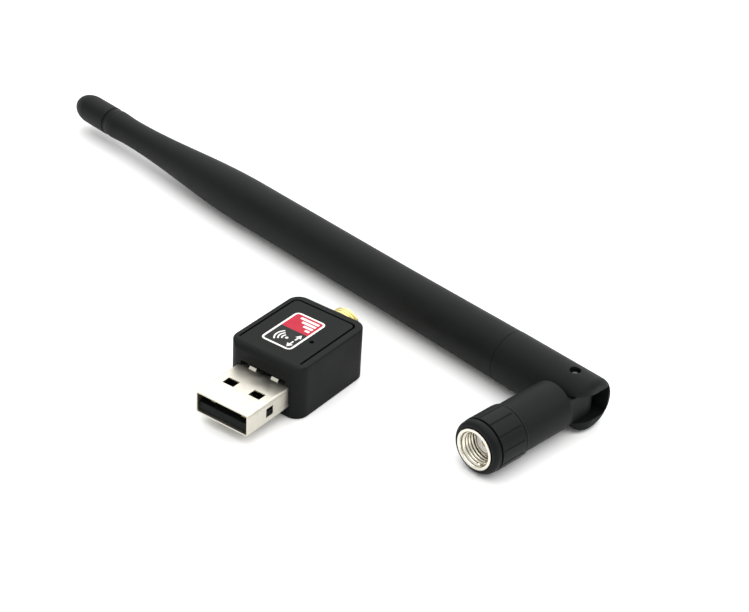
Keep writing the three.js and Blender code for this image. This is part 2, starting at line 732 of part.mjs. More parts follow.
// Split ring between the rear wall of the nut and the flange of the body.
function retainingRing() {
  const gapHalf = THREE.MathUtils.degToRad(RING_OPENING / 2);
  const inner = BODY_NECK_R + SLIP;
  const outline = new THREE.Shape();
  outline.absarc(0, 0, RING_R, gapHalf, 2 * Math.PI - gapHalf);
  outline.absarc(0, 0, inner, 2 * Math.PI - gapHalf, gapHalf, true);
  return new THREE.ExtrudeGeometry(outline, { depth: RING_T, bevelEnabled: false, curveSegments: 18 })
    .rotateX(Math.PI / 2)
    .translate(0, -ringStart, 0);
}

function couplingNut() {
  const boreR = BODY_NECK_R + 0.25;
  const minor = THREAD_R - THREAD_DEPTH + 0.1;
  const major = THREAD_R + 0.02;
  const thread = threadProfile(nutThreadStart, nutFront - NUT_MOUTH - 0.1, minor, major);
  return alongElbow([
    [nutBack, boreR],
    [nutBack, NUT_R],
    [nutFront, NUT_R],
    [nutFront, NUT_MOUTH_R],
    [nutFront - NUT_MOUTH, minor],
    ...thread.reverse(),
    [nutThreadStart, NUT_RELIEF_R],
    [nutBack + NUT_WALL, NUT_RELIEF_R],
    [nutBack + NUT_WALL, boreR],
  ]);
}

// Grip: moulded sleeve on the nut, with flats divided by fine grooves, a rear flange and a collar.
function gripSleeve() {
  const outline = new THREE.Shape();
  const halfGroove = 0.035;
  for (let flat = 0; flat < GRIP_FLATS; flat += 1) {
    const middle = 2 * Math.PI * flat / GRIP_FLATS;
    const halfFlat = Math.PI / GRIP_FLATS;
    const corners = [
      [middle - halfFlat, GRIP_R - GRIP_GROOVE],
      [middle - halfFlat + halfGroove, GRIP_R - 0.02],
      [middle + halfFlat - halfGroove, GRIP_R - 0.02],
    ];
    corners.forEach(([angle, radius], i) => {
      const [x, y] = [radius * Math.cos(angle), radius * Math.sin(angle)];
      if (flat === 0 && i === 0) outline.moveTo(x, y);
      else outline.lineTo(x, y);
    });
  }
  const bore = NUT_R + SLIP;
  const fluted = new THREE.ExtrudeGeometry(outline, {
    depth: GRIP_LENGTH - GRIP_COLLAR - COLLAR_GROOVE, bevelEnabled: false,
  }).rotateX(Math.PI / 2).translate(0, -gripStart, 0);
  const rims = alongElbow([
    [gripStart, bore - 0.5],
    [gripStart, GRIP_R],
    [gripStart + GRIP_FLANGE, GRIP_R],
    [gripStart + GRIP_FLANGE, COLLAR_GROOVE_R],
    [gripEnd - GRIP_COLLAR, COLLAR_GROOVE_R],
    [gripEnd - GRIP_COLLAR, GRIP_R - 0.1],
    [gripEnd - GRIP_COLLAR + 0.15, GRIP_R],
    [gripEnd - 0.5, GRIP_R - 0.15],
    [gripEnd, COLLAR_TIP_R],
    [gripEnd, bore - 0.5],
  ]);
  return cut(join(fluted, rims), alongElbow(rod(gripStart - 1, gripEnd + 1, bore)));
}

// ---------------------------------------------------------------- assembly

const antenna = new THREE.Group();
antenna.position.set(0, 0, restZ);

const adapter = new THREE.Group();
adapter.position.set(ADAPTER_X, ADAPTER_Y, 0);
adapter.rotation.z = THREE.MathUtils.degToRad(ADAPTER_TURN);

function piece(parent, name, geometry, material) {
  const mesh = new THREE.Mesh(weld(geometry), material);
  mesh.name = name;
  parent.add(mesh);
}

piece(adapter, 'housing_shell', housingShell(), housingPlastic);
piece(adapter, 'housing_lid', housingLid(), housingPlastic);
piece(adapter, 'badge_label', slab(badgeOutline(0), HOUSING_H - BADGE_T, HOUSING_H), badgePrint);
piece(adapter, 'usb_shell', usbShell(), satinNickel);
piece(adapter, 'usb_insulator', usbInsulator(), blackResin);
CONTACT_X.forEach((x, i) => {
  piece(adapter, `usb_contact_${i + 1}`, usbContact(x, CONTACT_SETBACK[i]), gold);
});

const onBoard = boardTop + SEAT;
piece(
  adapter, 'circuit_board',
  block(-boardHalf, boardHalf, boardFront, boardRear, boardTop - BOARD_T, boardTop), boardGreen,
);
piece(adapter, 'radio_chip', component(RADIO_CHIP, RADIO_CHIP_X, radioChipY, onBoard), chipBlack);
piece(adapter, 'crystal_can', component(CRYSTAL, CRYSTAL_X, besideLampY, onBoard), steel);
piece(adapter, 'regulator_chip', component(REGULATOR, REGULATOR_X, besideLampY, onBoard), chipBlack);
piece(adapter, 'status_lamp', component(LAMP, LAMP_X, LAMP_Y, onBoard), lampLens);
for (let i = 0; i < 4; i += 1) {
  const x = (i - 3) * CAPACITOR_PITCH - 0.5;
  piece(adapter, `chip_capacitor_${i + 1}`, component(CAPACITOR, x, capacitorY, onBoard), ceramic);
}
piece(adapter, 'antenna_socket', antennaSocket(), gold);
piece(adapter, 'socket_insulator', socketInsulator(), whiteResin);
piece(adapter, 'socket_pin', socketPin(), gold);

piece(antenna, 'mast_sheath', mastSheath(), mastPlastic);
piece(antenna, 'tip_cap', tipCap(), mastPlastic);
piece(antenna, 'knuckle_fork', knuckleFork(), mastPlastic);
piece(antenna, 'hinge_pin_top', hingePin(1), darkSteel);
piece(antenna, 'hinge_pin_bottom', hingePin(-1), darkSteel);
piece(antenna, 'coax_cable', alongMast(rod(COAX_START, coaxEnd, COAX_R), 12), cableJacket);
piece(antenna, 'radiator_rod', radiatorRod(), copper);
piece(
  antenna, 'radiator_sleeve',
  alongMast(tube(sleeveStart, coaxEnd - 1, SLEEVE_R - SLEEVE_WALL, SLEEVE_R), SMALL_SIDES), brass,
);
piece(
  antenna, 'sleeve_ferrule',
  alongMast(tube(
    ferruleStart, ferruleStart + FERRULE_LENGTH, COAX_R + SLIP, SLEEVE_R - SLEEVE_WALL - SLIP,
  ), SMALL_SIDES), brass,
);
for (let i = 0; i < BEAD_COUNT; i += 1) {
  const start = SEAM + SPIGOT_LENGTH + 4 + i * BEAD_STEP;
  piece(
    antenna, `centering_bead_${i + 1}`,
    alongMast(tube(start, start + BEAD_LENGTH, COAX_R + SLIP, beadR), SMALL_SIDES), foam,
  );
}

piece(antenna, 'elbow_base', elbowBase(), mastPlastic);
piece(antenna, 'plug_body', plugBody(), nickel);
piece(antenna, 'plug_insulator', plugInsulator(), whiteResin);
piece(antenna, 'plug_contact', plugContact(), gold);
piece(antenna, 'coax_tail', alongElbow(rod(COAX_START, plugCoreStart, COAX_R), 12), cableJacket);
piece(antenna, 'retaining_ring', retainingRing(), steel);
piece(
  antenna, 'plug_gasket',
  alongElbow(tube(flangeEnd, flangeEnd + GASKET_T, BARREL_R + SLIP, BODY_R), 32), rubber,
);
piece(antenna, 'coupling_nut', couplingNut(), nickel);
piece(antenna, 'grip_sleeve', gripSleeve(), gripPlastic);

// The object is set with the middle of its box over the origin.
const object = new THREE.Group();
object.name = 'usb_wifi_adapter';
object.add(adapter, antenna);
object.updateMatrixWorld(true);
const extent = new THREE.Box3().setFromObject(object, true);
object.position.set(-(extent.min.x + extent.max.x) / 2, -(extent.min.y + extent.max.y) / 2, -extent.min.z);

export default object;
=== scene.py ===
# %% [markdown]
# # A USB wifi adapter and its screw-on aerial
# This lesson dresses a finished mechanical model. The small box with a USB plug and a threaded
# socket is one piece; the long aerial with its folding elbow lies beside it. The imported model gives
# every size, place and joint, so nothing here is fitted by eye. We only make fine surfaces and
# finishes. Everything is drawn in millimetres and set down in metres at the end.

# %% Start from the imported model
import json
import math

import bmesh
import bpy
from mathutils import Matrix, Vector


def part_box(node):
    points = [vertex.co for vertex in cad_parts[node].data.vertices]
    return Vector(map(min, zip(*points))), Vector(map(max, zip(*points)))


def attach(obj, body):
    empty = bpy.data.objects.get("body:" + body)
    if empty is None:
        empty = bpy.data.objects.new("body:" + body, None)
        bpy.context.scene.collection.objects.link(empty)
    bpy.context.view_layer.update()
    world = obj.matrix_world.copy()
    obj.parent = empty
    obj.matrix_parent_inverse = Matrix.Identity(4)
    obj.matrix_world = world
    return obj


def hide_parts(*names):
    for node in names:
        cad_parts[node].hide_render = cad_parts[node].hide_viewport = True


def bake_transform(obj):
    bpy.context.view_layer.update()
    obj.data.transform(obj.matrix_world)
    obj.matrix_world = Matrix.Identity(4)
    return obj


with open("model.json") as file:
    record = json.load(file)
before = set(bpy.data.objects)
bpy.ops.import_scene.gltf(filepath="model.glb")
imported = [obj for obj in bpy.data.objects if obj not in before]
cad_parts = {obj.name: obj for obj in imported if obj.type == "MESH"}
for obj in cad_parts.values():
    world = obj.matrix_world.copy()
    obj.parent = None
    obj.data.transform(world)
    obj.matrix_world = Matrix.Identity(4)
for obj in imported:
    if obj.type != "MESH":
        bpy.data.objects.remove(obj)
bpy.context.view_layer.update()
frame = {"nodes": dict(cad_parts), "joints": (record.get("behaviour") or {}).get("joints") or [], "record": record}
MM = 0.001
record = frame["record"]
mounts = {mount["name"]: mount for mount in record["mounts"]}
joints = {joint["name"]: joint for joint in frame["joints"]}
print("pieces in the packed model:", len(frame["nodes"]))

# %% [markdown]
# ## Two drawing boards
# The adapter is turned a little on the table, so it is easiest to draw it square in a frame of its
# own: x to its right, y to its rear, z up, with the foot of the front wall as the origin. The
# underside and the plug give that frame. The aerial is drawn around its hinge pin.

# %% The frames of the adapter and of the hinge
HOUSING_L = 20.4
forward = Vector(mounts["usb_plug_mouth"]["axis"])
underside = Vector(mounts["housing_underside"]["pos_m"])
turn = Matrix.Rotation(math.atan2(forward.x, -forward.y), 4, "Z")
ADAPTER = Matrix.Translation(underside + forward * HOUSING_L / 2 * MM) @ turn @ Matrix.Scale(MM, 4)
hinge = Vector(joints["elbow_fold"]["pos_m"])
HINGE = Matrix.Translation(hinge) @ Matrix.Scale(MM, 4)
TO_TIP, TO_PLUG, TO_REAR = Vector((-1, 0, 0)), Vector((0, -1, 0)), Vector((0, 1, 0))
print("adapter turned", round(math.degrees(math.atan2(forward.x, -forward.y)), 2), "degrees")

# %% [markdown]
# ## Camera
# A small product is shot from a distance with a long lens, so that its edges stay nearly parallel.
# The camera looks down at about a third of a right angle and is rolled slightly, which lets the
# long aerial run down the frame on a diagonal. We aim it at a point on the table beside the mast.

# %% Set the camera
AZIMUTH, ELEVATION, ROLL = math.radians(44.21), math.radians(32.54), math.radians(3.64)
CAMERA_DISTANCE = 348.03 * MM
aim_point = Vector((hinge.x - 50.07 * MM, hinge.y - 1.65 * MM, 0))
backward = Vector((
    math.sin(AZIMUTH) * math.cos(ELEVATION), -math.cos(AZIMUTH) * math.cos(ELEVATION), math.sin(ELEVATION),
))
level = Vector((math.cos(AZIMUTH), math.sin(AZIMUTH), 0))
upward = backward.cross(level)
camera_data = bpy.data.cameras.new("studio_camera")
camera_data.sensor_width = 36
camera_data.lens = 83.37
camera_data.clip_start, camera_data.clip_end = 0.01, 10
camera = bpy.data.objects.new("studio_camera", camera_data)
bpy.context.scene.collection.objects.link(camera)
axes = Matrix((
    level * math.cos(ROLL) + upward * math.sin(ROLL),
    upward * math.cos(ROLL) - level * math.sin(ROLL),
    backward,
)).transposed()
camera.matrix_world = Matrix.Translation(aim_point + backward * CAMERA_DISTANCE) @ axes.to_4x4()
bpy.context.scene.camera = camera
print("camera at", [round(value, 3) for value in camera.matrix_world.translation])

# %% [markdown]
# ## Turned shapes
# Most of this object comes off a lathe or out of a round mould: mast, cap, knuckle, pins, nut and
# socket. Each is an outline spun about an axis. The outline is a chain of [distance, radius] pairs,
# and a third number rounds that corner. Rounding the corners of the chain before spinning it gives
# every rim its small radius for free, and one full spin closes on itself.

# %% A lathe
def round_corners(bm, verts, edges, radius):
    bmesh.ops.bevel(
        bm, geom=verts + edges, offset=radius, offset_type="OFFSET", segments=4, profile=0.5,
        affect="VERTICES", material=-1,
    )


def chain(bm, points, closed):
    verts = [bm.verts.new((point[1], 0, point[0])) for point in points]
    pairs = list(zip(verts, verts[1:]))
    if closed:
        pairs.append((verts[-1], verts[0]))
    edges = [bm.edges.new(pair) for pair in pairs]
    by_rounding = {}
    for vert, point in zip(verts, points):
        if len(point) > 2:
            by_rounding.setdefault(point[2], []).append(vert)
    for rounding, corners in by_rounding.items():
        round_corners(bm, corners, [edge for edge in edges if edge.is_valid], rounding)


def turned(points, direction=None, sides=96):
    """A closed solid of revolution; an outline that starts off the axis is a ring."""
    bm = bmesh.new()
    chain(bm, points, closed=points[0][1] > 0)
    bmesh.ops.spin(
        bm, geom=bm.verts[:] + bm.edges[:], cent=(0, 0, 0), axis=(0, 0, 1), angle=2 * math.pi,
        steps=sides, use_merge=True,
    )
    bmesh.ops.remove_doubles(bm, verts=bm.verts, dist=1e-4)
    bmesh.ops.recalc_face_normals(bm, faces=bm.faces)
    return aimed(bm, direction)


def aimed(bm, direction):
    if direction is not None:
        turn_to = Vector((0, 0, 1)).rotation_difference(direction).to_matrix().to_4x4()
        bmesh.ops.transform(bm, matrix=turn_to, verts=bm.verts)
    return bm


def placed(bm, place):
    bmesh.ops.translate(bm, vec=place, verts=bm.verts)
    return bm


def swung(bm, angle, axis):
    bmesh.ops.rotate(bm, verts=bm.verts, matrix=Matrix.Rotation(angle, 3, axis))
    return bm


def bar(start, end, radius, direction=None, sides=48):
    return turned([(start, 0), (start, radius), (end, radius), (end, 0)], direction, sides)


print("one turned test bar has", len(bar(0, 1, 1).faces), "faces")

# %% [markdown]
# ## Boxes with rounded edges
# The housing, its lid and the folded plug are boxes whose upright edges have one radius and whose
# top edge has another. A cube is pulled to size and its edges are bevelled in that order: first the
# uprights, then the rim, so that the rim's radius runs smoothly round the corners.

# %% A box maker
def edges_at(bm, test):
    return [edge for edge in bm.edges if all(test(vert.co) for vert in edge.verts)]


def round_edges(bm, edges, radius, segments):
    if radius > 0 and edges:
        bmesh.ops.bevel(
            bm, geom=edges, offset=radius, offset_type="OFFSET", segments=segments, profile=0.5,
            affect="EDGES", material=-1, clamp_overlap=True,
        )


def box(x, y, z, front=0, rear=None, top=0, bottom=0, segments=8):
    """A box from its low and high values; front and rear upright edges are rounded, then its rims."""
    bm = bmesh.new()
    bmesh.ops.create_cube(bm, size=1)
    size = (x[1] - x[0], y[1] - y[0], z[1] - z[0])
    middle = ((x[0] + x[1]) / 2, (y[0] + y[1]) / 2, (z[0] + z[1]) / 2)
    bmesh.ops.scale(bm, vec=size, verts=bm.verts)
    placed(bm, middle)
    rear = front if rear is None else rear
    for radius, side in ((front, y[0]), (rear, y[1])):
        upright = [
            edge for edge in edges_at(bm, lambda co: abs(co.y - side) < 1e-5)
            if abs(edge.verts[0].co.z - edge.verts[1].co.z) > 1e-5
        ]
        round_edges(bm, upright, radius, segments)
    round_edges(bm, edges_at(bm, lambda co: abs(co.z - z[1]) < 1e-5), top, max(3, segments // 2))
    round_edges(bm, edges_at(bm, lambda co: abs(co.z - z[0]) < 1e-5), bottom, max(3, segments // 2))
    return bm


print("a rounded box has", len(box((0, 1), (0, 1), (0, 1), front=0.2, top=0.1).faces), "faces")

# %% [markdown]
# ## Cutting and joining
# Slots, windows and bores are cut as a milling cutter would: the tool is its own closed solid, and
# a Boolean takes it away. We run the Boolean once, read the result back, and dissolve the flat
# seams that it leaves, so that a later bevel finds clean edges.

# %% A milling machine
def linked(name, data):
    thing = bpy.data.objects.new(name, data)
    bpy.context.scene.collection.objects.link(thing)
    return thing


def as_object(bm, name):
    mesh = bpy.data.meshes.new(name)
    bm.to_mesh(mesh)
    bm.free()
    return linked(name, mesh)


def machined(bm, *tools, how="DIFFERENCE"):
    works = [as_object(part, "work") for part in (bm, *tools)]
    for tool in works[1:]:
        modifier = works[0].modifiers.new("cut", "BOOLEAN")
        modifier.operation, modifier.solver, modifier.object = how, "EXACT", tool
    result = bmesh.new()
    result.from_object(works[0], bpy.context.evaluated_depsgraph_get())
    for work in works:
        mesh = work.data
        bpy.data.objects.remove(work)
        bpy.data.meshes.remove(mesh)
    bmesh.ops.remove_doubles(result, verts=result.verts, dist=1e-4)
    bmesh.ops.dissolve_limit(
        result, angle_limit=math.radians(0.5), verts=result.verts, edges=result.edges,
    )
    return result


def gathered(*parts):
    """Several closed shells in one mesh, where they are one moulding or one turned piece."""
    whole = bmesh.new()
    for part in parts:
        mesh = bpy.data.meshes.new("part")
        part.to_mesh(mesh)
        part.free()
        whole.from_mesh(mesh)
        bpy.data.meshes.remove(mesh)
    return whole


# %% [markdown]
# ## Setting a piece down
# A finished mesh is moved from its drawing board to its real place, so its object stays at the
# origin. Sharp edges catch no light, so a narrow Bevel modifier softens every edge that is still
# sharp, and a Weighted Normal modifier keeps the flats flat beside those roundings.

# %% Set a piece down on its body
FINISHES = {}
BOARDS = {"adapter": ADAPTER, "mast": HINGE, "elbow": HINGE, "nut": HINGE}


def real_object(bm, name, board, slot):
    bmesh.ops.transform(bm, matrix=board, verts=bm.verts)
    for face in bm.faces:
        face.smooth = True
    piece = as_object(bm, name)
    for finish in FINISHES[slot]:
        piece.data.materials.append(finish)
    print(name, "has", len(piece.data.polygons), "faces")
    return piece


def set_down(bm, name, body, slot, replaces, edge=0.0, angle=35):
    piece = real_object(bm, name, BOARDS[body], slot)
    if edge:
        bevel = piece.modifiers.new("soft_edges", "BEVEL")
        bevel.width, bevel.segments = edge * MM, 2
        bevel.limit_method, bevel.angle_limit = "ANGLE", math.radians(angle)
        bevel.miter_outer = "MITER_ARC"
    weighted = piece.modifiers.new("flat_faces", "WEIGHTED_NORMAL")
    weighted.keep_sharp = True
    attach(piece, body)
    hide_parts(*replaces)


# %% [markdown]
# ## Finishes: how the materials are put together
# Every finish starts from the Principled shader and reads Object coordinates, so patterns keep
# their real size on every piece. Noise at two scales does most of the work: a coarse one for the
# faint clouds of colour and gloss that handling leaves, and a fine one for the texture of the
# mould or the plating. A Bevel node compared with the surface normal finds the edges, where wear
# polishes plastic and thins plating. A finished material is filed under the name of its slot.

# %% Small tools for finishes
FLAT_DOT, EDGE_DOT = 1 - 0.02, 1 - 0.35


class Finish:
    def __init__(self, name):
        self.name = name
        self.material = bpy.data.materials.new(name)
        self.material.use_nodes = True
        self.nodes = self.material.node_tree.nodes
        self.links = self.material.node_tree.links
        self.shader = self.nodes["Principled BSDF"]
        self.place = self.nodes.new("ShaderNodeTexCoord").outputs["Object"]

    def add(self, kind, settings=None, **sockets):
        node = self.nodes.new(kind)
        for name, value in (settings or {}).items():
            setattr(node, name, value)
        for name, value in sockets.items():
            self.feed(value, node.inputs[name.replace("_", " ")])
        return node

    def feed(self, value, socket):
        if isinstance(value, bpy.types.NodeSocket):
            self.links.new(value, socket)
        else:
            socket.default_value = value

    def noise(self, feature, detail=3.0, roughness=0.55, stretch=None):
        place = self.place
        if stretch:
            place = self.add("ShaderNodeMapping", Vector=place, Scale=stretch).outputs["Vector"]
        node = self.add(
            "ShaderNodeTexNoise", Vector=place, Scale=1 / (feature * MM), Detail=detail, Roughness=roughness,
        )
        return node.outputs["Fac"]

    def ramp(self, value, low, high, result_low=0.0, result_high=1.0):
        node = self.add("ShaderNodeMapRange", Value=value)
        for index, number in enumerate((low, high, result_low, result_high), start=1):
            node.inputs[index].default_value = number
        return node.outputs["Result"]

    def blend(self, share, first, second):
        node = self.add("ShaderNodeMix", {"data_type": "RGBA"})
        self.feed(share, node.inputs[0])
        self.feed(first, node.inputs[6])
        self.feed(second, node.inputs[7])
        return node.outputs[2]

    def edges(self, radius):
        """0 on flats, 1 on edges of about this radius."""
        soft = self.add("ShaderNodeBevel", {"samples": 4}, Radius=radius * MM).outputs["Normal"]
        true = self.nodes.new("ShaderNodeNewGeometry").outputs["Normal"]
        dot = self.add("ShaderNodeVectorMath", {"operation": "DOT_PRODUCT"})
        self.links.new(soft, dot.inputs[0])
        self.links.new(true, dot.inputs[1])
        return self.ramp(dot.outputs["Value"], FLAT_DOT, EDGE_DOT)

    def bump(self, height, depth, onto=None):
        node = self.add("ShaderNodeBump", Height=height, Distance=depth * MM, Strength=1.0)
        if onto is not None:
            self.links.new(onto, node.inputs["Normal"])
        return node.outputs["Normal"]

    def done(self, colour, roughness, normal, **fixed):
        self.feed(colour, self.shader.inputs["Base Color"])
        self.feed(roughness, self.shader.inputs["Roughness"])
        self.feed(normal, self.shader.inputs["Normal"])
        for name, value in fixed.items():
            self.shader.inputs[name.replace("_", " ")].default_value = value
        FINISHES[self.name] = [self.material]


def shade(colour, factor):
    return (*[min(1.0, channel * factor) for channel in colour], 1.0)


# %% [markdown]
# ## Black moulded plastic
# The housing, the mast and the grip are the same kind of plastic from three moulds. The housing
# has a fine spark-eroded texture that scatters light; the mast is smoother and the grip a little
# glossier still, polished by fingers. One function with the mould's texture as its settings makes
# all three, and only the numbers differ.

# %% Moulded plastic
def moulded(name, colour, roughness, texture, depth, polish):
    finish = Finish(name)
    clouds = finish.noise(6.0, detail=4)
    grain = finish.noise(texture, detail=2)
    worn = finish.edges(0.35)
    base = finish.blend(finish.ramp(clouds, 0.35, 0.7), shade(colour, 0.88), shade(colour, 1.12))
    base = finish.blend(finish.ramp(worn, 0, 1, 0, 0.35), base, shade(colour, 2.0))
    gloss = finish.ramp(clouds, 0.3, 0.7, roughness - 0.04, roughness + 0.05)
    rough = finish.add("ShaderNodeMath", {"operation": "SUBTRACT"})
    finish.feed(gloss, rough.inputs[0])
    finish.feed(finish.ramp(worn, 0, 1, 0, polish), rough.inputs[1])
    smudge = finish.noise(1.4, detail=5, roughness=0.6)
    normal = finish.bump(grain, depth, finish.bump(smudge, depth * 0.6))
    finish.done(base, rough.outputs["Value"], normal, IOR=1.49, Specular_IOR_Level=0.1)


moulded("housing_plastic", (0.0062, 0.0072, 0.0068), 0.55, 0.16, 0.006, 0.08)
moulded("mast_plastic", (0.0056, 0.0065, 0.0062), 0.5, 0.22, 0.004, 0.06)
moulded("grip_plastic", (0.0060, 0.0066, 0.0068), 0.45, 0.20, 0.003, 0.05)
print("three black plastics made")

# %% [markdown]
# ## Plated and plain metals
# The nut is bright nickel, the USB plug a softer satin nickel, the socket thin gold over brass.
# Plating is smooth but never perfect: fine drawing lines, a haze where it has been handled and a
# slightly different colour on the edges. Stretching the noise along one axis draws those lines.

# %% Metals
def metal(name, colour, roughness, stretch=(1, 1, 1), lines=0.12, depth=0.0008, dull=0.6):
    finish = Finish(name)
    haze = finish.noise(3.0, detail=5, roughness=0.65)
    drawn = finish.noise(lines, detail=2, stretch=stretch)
    worn = finish.edges(0.15)
    base = finish.blend(finish.ramp(haze, 0.35, 0.75), shade(colour, 1.0), shade(colour, 0.88))
    base = finish.blend(finish.ramp(worn, 0, 1, 0, 0.5), base, shade(colour, dull))
    rough = finish.ramp(haze, 0.3, 0.75, roughness * 0.8, roughness * 1.35)
    finish.done(base, rough, finish.bump(drawn, depth), Metallic=1.0)


metal("plug_nickel", (0.76, 0.73, 0.64), 0.16)
metal("shell_nickel", (0.63, 0.605, 0.53), 0.36, stretch=(6, 1, 1))
metal("gold_plate", (0.88, 0.76, 0.33), 0.26)
metal("raw_brass", (0.66, 0.48, 0.21), 0.3, stretch=(0.1, 1, 1))
metal("copper_wire", (0.68, 0.33, 0.18), 0.3, lines=0.08)
metal("tinned_steel", (0.52, 0.52, 0.53), 0.34, lines=0.1, depth=0.0015)
metal("dark_steel", (0.06, 0.06, 0.062), 0.22, lines=0.1, dull=1.6)
print("seven metals made")

# %% [markdown]
# ## Resins, rubber, foam and board
# Inside there are parts that only show in glimpses: white insulators, the black tongue of the plug,
# the green circuit board with its chips, the cable. They still get real finishes, because glimpses
# make an opening look deep. One function covers the resins; the board and the foam have patterns.

# %% Resins and the rest
def resin(name, colour, roughness, speck=0.3, depth=0.002, **fixed):
    finish = Finish(name)
    clouds = finish.noise(2.5, detail=4)
    grain = finish.noise(speck, detail=3)
    base = finish.blend(finish.ramp(clouds, 0.3, 0.7), shade(colour, 0.88), shade(colour, 1.12))
    rough = finish.ramp(grain, 0.3, 0.7, roughness * 0.85, roughness * 1.15)
    finish.done(base, rough, finish.bump(grain, depth), **fixed)


resin("white_resin", (0.76, 0.74, 0.68), 0.42, Subsurface_Weight=0.1, Subsurface_Scale=0.0005)
resin("black_resin", (0.005, 0.006, 0.006), 0.45, Specular_IOR_Level=0.08)
resin("chip_resin", (0.02, 0.021, 0.022), 0.5, speck=0.12, depth=0.004)
resin("chip_ceramic", (0.42, 0.3, 0.17), 0.45, speck=0.15)
resin("lamp_lens", (0.6, 0.75, 0.62), 0.15, Transmission_Weight=0.5)
resin("cable_jacket", (0.12, 0.06, 0.035), 0.35, speck=0.6)
resin("gasket_rubber", (0.4, 0.05, 0.03), 0.6, speck=0.1, depth=0.003)


def board_laminate():
    finish = Finish("board_laminate")
    tracks = finish.add(
        "ShaderNodeTexBrick", {"offset": 0.5},
        Vector=finish.place, Scale=1 / (2.2 * MM), Mortar_Size=0.06,
    ).outputs["Fac"]
    weave = finish.noise(0.25, detail=2)
    base = finish.blend(tracks, (0.012, 0.10, 0.045, 1), (0.03, 0.19, 0.075, 1))
    rough = finish.ramp(weave, 0.3, 0.7, 0.28, 0.42)
    finish.done(base, rough, finish.bump(weave, 0.003, finish.bump(tracks, 0.02)))


def bead_foam():
    finish = Finish("bead_foam")
    voronoi = finish.add("ShaderNodeTexVoronoi", Vector=finish.place, Scale=1 / (0.35 * MM))
    cells = voronoi.outputs["Distance"]
    base = finish.blend(cells, (0.66, 0.67, 0.64, 1), (0.46, 0.47, 0.44, 1))
    finish.done(base, finish.ramp(cells, 0, 1, 0.8, 0.95), finish.bump(cells, 0.05))


board_laminate()
bead_foam()
print("resins, board and foam made")

# %% [markdown]
# ## Printing inks of the badge
# The badge is a printed film. Screen ink is a thin, slightly uneven layer with a soft sheen, so
# each ink is a flat colour broken by a very fine speckle where the film shows through. The three
# inks together are the finish of one piece.

# %% Inks
def ink(name, colour, roughness=0.4):
    finish = Finish(name)
    speckle = finish.noise(0.12, detail=2)
    smear = finish.noise(1.8, detail=3)
    base = finish.blend(finish.ramp(speckle, 0.45, 0.8), shade(colour, 1.0), shade(colour, 0.72))
    rough = finish.ramp(smear, 0.3, 0.7, roughness, roughness + 0.15)
    finish.done(base, rough, finish.bump(speckle, 0.002), Specular_IOR_Level=0.15)


ink("ink_black", (0.010, 0.011, 0.011))
ink("ink_red", (0.42, 0.012, 0.035))
ink("ink_white", (0.82, 0.80, 0.77))
FINISHES["badge_print"] = [FINISHES[name][0] for name in ("ink_black", "ink_red", "ink_white")]
print("three inks made")

# %% [markdown]
# ## Housing tub
# The housing is a deep tub: floor, four walls with round upright corners, and a soft top edge. The
# lid drops into it from above and runs out over the front wall, so the opening for the lid is open
# at the front. Two more openings pass the plug and the socket. A box, then four cuts.

# %% Make the tub
HOUSING_W, HOUSING_H = 17, 11.1
CORNER_R, TOP_EDGE_R, BOTTOM_EDGE_R, FRONT_R = 2.6, 0.35, 0.3, 1.5
WALL, RIM = 1.2, 1.05
LID_T, LID_X, LID_RIM, LID_REAR_RIM, LID_GROOVE, LID_CORNER_R = 1.2, -0.17, 1.2, 1.48, 0.45, 0.9
PLUG_W, PLUG_H, PLUG_Z, POCKET_W, POCKET_H = 12, 4.5, 2.1, 10.4, 1.1
SOCKET_X, SOCKET_Z, THREAD_R = -0.3, 5.5, 3.175
HAIRLINE, PLAY, SNUG, THREAD_PLAY = 0.02, 0.1, 0.05, 0.15
lid_z = HOUSING_H - LID_T
plug_top = PLUG_Z + PLUG_H
inner = HOUSING_W / 2 - RIM
opening_x = (LID_X - HOUSING_W / 2 + LID_RIM, LID_X + HOUSING_W / 2 - LID_RIM)


def widened(span, margin):
    return span[0] - margin, span[1] + margin


def rolled_stock():
    """A block as high as the housing whose front top edge is rolled over."""
    stock = box((-HOUSING_W, HOUSING_W), (0, HOUSING_L + 5), (-1, HOUSING_H))
    roll = edges_at(stock, lambda co: co.y < 1e-5 and co.z > HOUSING_H - 1e-5)
    round_edges(stock, roll, FRONT_R, 10)
    return stock


tub = machined(
    box(
        (-HOUSING_W / 2, HOUSING_W / 2), (0, HOUSING_L), (0, HOUSING_H),
        front=CORNER_R, top=TOP_EDGE_R, bottom=BOTTOM_EDGE_R,
    ),
    rolled_stock(),
    how="INTERSECT",
)
tub = machined(
    tub,
    box((-inner, inner), (WALL, HOUSING_L - WALL), (WALL, lid_z + 0.01), front=CORNER_R - RIM),
    box(
        opening_x, (-1, HOUSING_L - LID_REAR_RIM), (lid_z - HAIRLINE, HOUSING_H + 1),
        rear=LID_CORNER_R + 0.3,
    ),
    box(widened((-PLUG_W / 2, PLUG_W / 2), PLAY), (-1, WALL + 1), (PLUG_Z - PLAY, plug_top + SNUG)),
    box((-POCKET_W / 2, POCKET_W / 2), (-1, WALL + 1), (plug_top, plug_top + POCKET_H)),
    placed(bar(-2, 1, THREAD_R + THREAD_PLAY, TO_REAR), (SOCKET_X, HOUSING_L, SOCKET_Z)),
)
set_down(tub, "housing_tub", "adapter", "housing_plastic", ["housing_shell"], edge=0.05)

# %% [markdown]
# ## Lid
# The lid is a flush plate. A groove parts it from the rim on three sides, and stops short of the
# front, where the lid fills its opening with a hairline joint and rolls over into the front wall.
# The same rolled stock that shaped the tub shapes the lid, so the two run into each other. The
# badge pocket and the lamp hole are sunk into it last.

